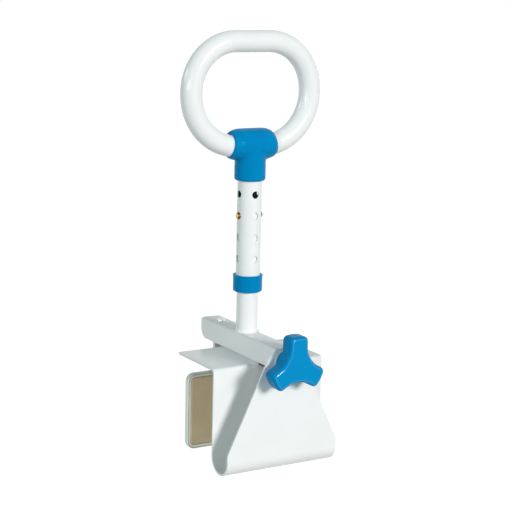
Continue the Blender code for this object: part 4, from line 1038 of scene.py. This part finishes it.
shaft = on_screw([(0, in_head), (SCREW_RADIUS, in_head), (SCREW_RADIUS, groove_end),
                  (GROOVE_RADIUS, groove_end), (GROOVE_RADIUS, groove), (SCREW_RADIUS, groove),
                  (SCREW_RADIUS, shaft_low), (0, shaft_low)], 48)
in_thread, tip = 21.5 * MM, 20 * MM
point = on_screw([(0, in_thread), (CORE_RADIUS, in_thread), (CORE_RADIUS, tip, 0.6 * MM), (0, tip)], 48)
head = slab(hexagon(8 * MM, SCREW_Z), HUB_X, HUB_X + 6.4 * MM, ALONG_X)
carve(screw, shaft, point, head, operation="UNION")
dress(screw, "screw", ZINC, "zinc_plate", "clamp_screw", sharp=30)

# %% [markdown]
# ## Rubber pads of the bracket
# Both pads grip the tub, so their outer faces are ribbed. One groove is made and copied in a row, and the
# whole row is cut out at once.

# %% Pads
PAD_CORNER, GROOVE_STEP = 6 * MM, 5 * MM


def grooves(first, count, matrix):
    """A row of bars that cut V-shaped grooves; the bars run along X before the matrix places them."""
    bar = bmesh.new()
    bmesh.ops.create_cube(bar, size=1.0, matrix=Matrix.Diagonal((200 * MM, 0.9 * MM, 0.9 * MM, 1))
                          @ Matrix.Rotation(math.pi / 4, 4, "X"))
    bmesh.ops.translate(bar, verts=bar.verts, vec=(0, first, 0))
    bmesh.ops.spin(bar, geom=bar.verts[:] + bar.edges[:] + bar.faces[:], cent=(0, 0, 0), axis=(1, 0, 0),
                   dvec=(0, GROOVE_STEP, 0), angle=0.0, steps=count - 1, use_duplicate=True)
    bmesh.ops.transform(bar, matrix=matrix, verts=bar.verts)
    return clean(bar)


rim_outline = box_outline(-27 * MM, 42.3 * MM, -65 * MM, 65 * MM, PAD_CORNER)
rim_pad = piece_from(slab(rim_outline, 0, 1.7 * MM), "rim_rubber")
carve(rim_pad, grooves(-60 * MM, 25, ALONG_Z))
dress(rim_pad, "bracket", BLACK_RUBBER, "black_rubber", "rim_pad", sharp=30)

plate_side = BACK_PLATE_X - SHEET - 0.3 * MM
tub_side = plate_side - 4 * MM
outer_outline = box_outline(-55 * MM, 55 * MM, -91 * MM, -16 * MM, PAD_CORNER)
outer_pad = piece_from(slab(outer_outline, tub_side, plate_side, ALONG_X), "wall_rubber")
across_tub = Matrix.Rotation(math.pi / 2, 4, "Z") @ Matrix.Rotation(math.pi / 2, 4, "X")
carve(outer_pad, grooves(-87.5 * MM, 14, Matrix.Translation((tub_side, 0, 0)) @ across_tub))
dress(outer_pad, "bracket", BLACK_RUBBER, "black_rubber", "outer_pad", sharp=30)

# %% [markdown]
# ## Pieces whose CAD shape is right
# The guide block, nut, rivets, clip and strap are small and mostly hidden, and their CAD shapes are already
# true. They stay, and only their finish changes.

# %% Finishes for the CAD pieces that stay
for node, surface in {
    "guide_block": NYLON, "guide_rivet_back": ZINC, "guide_rivet_front": ZINC, "nut_plate": ZINC,
    "beam_nut": ZINC, "jaw_hanger": WHITE_PAINT, "jaw_rivet_upper": ZINC, "jaw_rivet_lower": ZINC,
    "retaining_clip": SPRING_STEEL,
}.items():
    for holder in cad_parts[node].material_slots:
        holder.material = surface
    print(node, "in", surface.name)
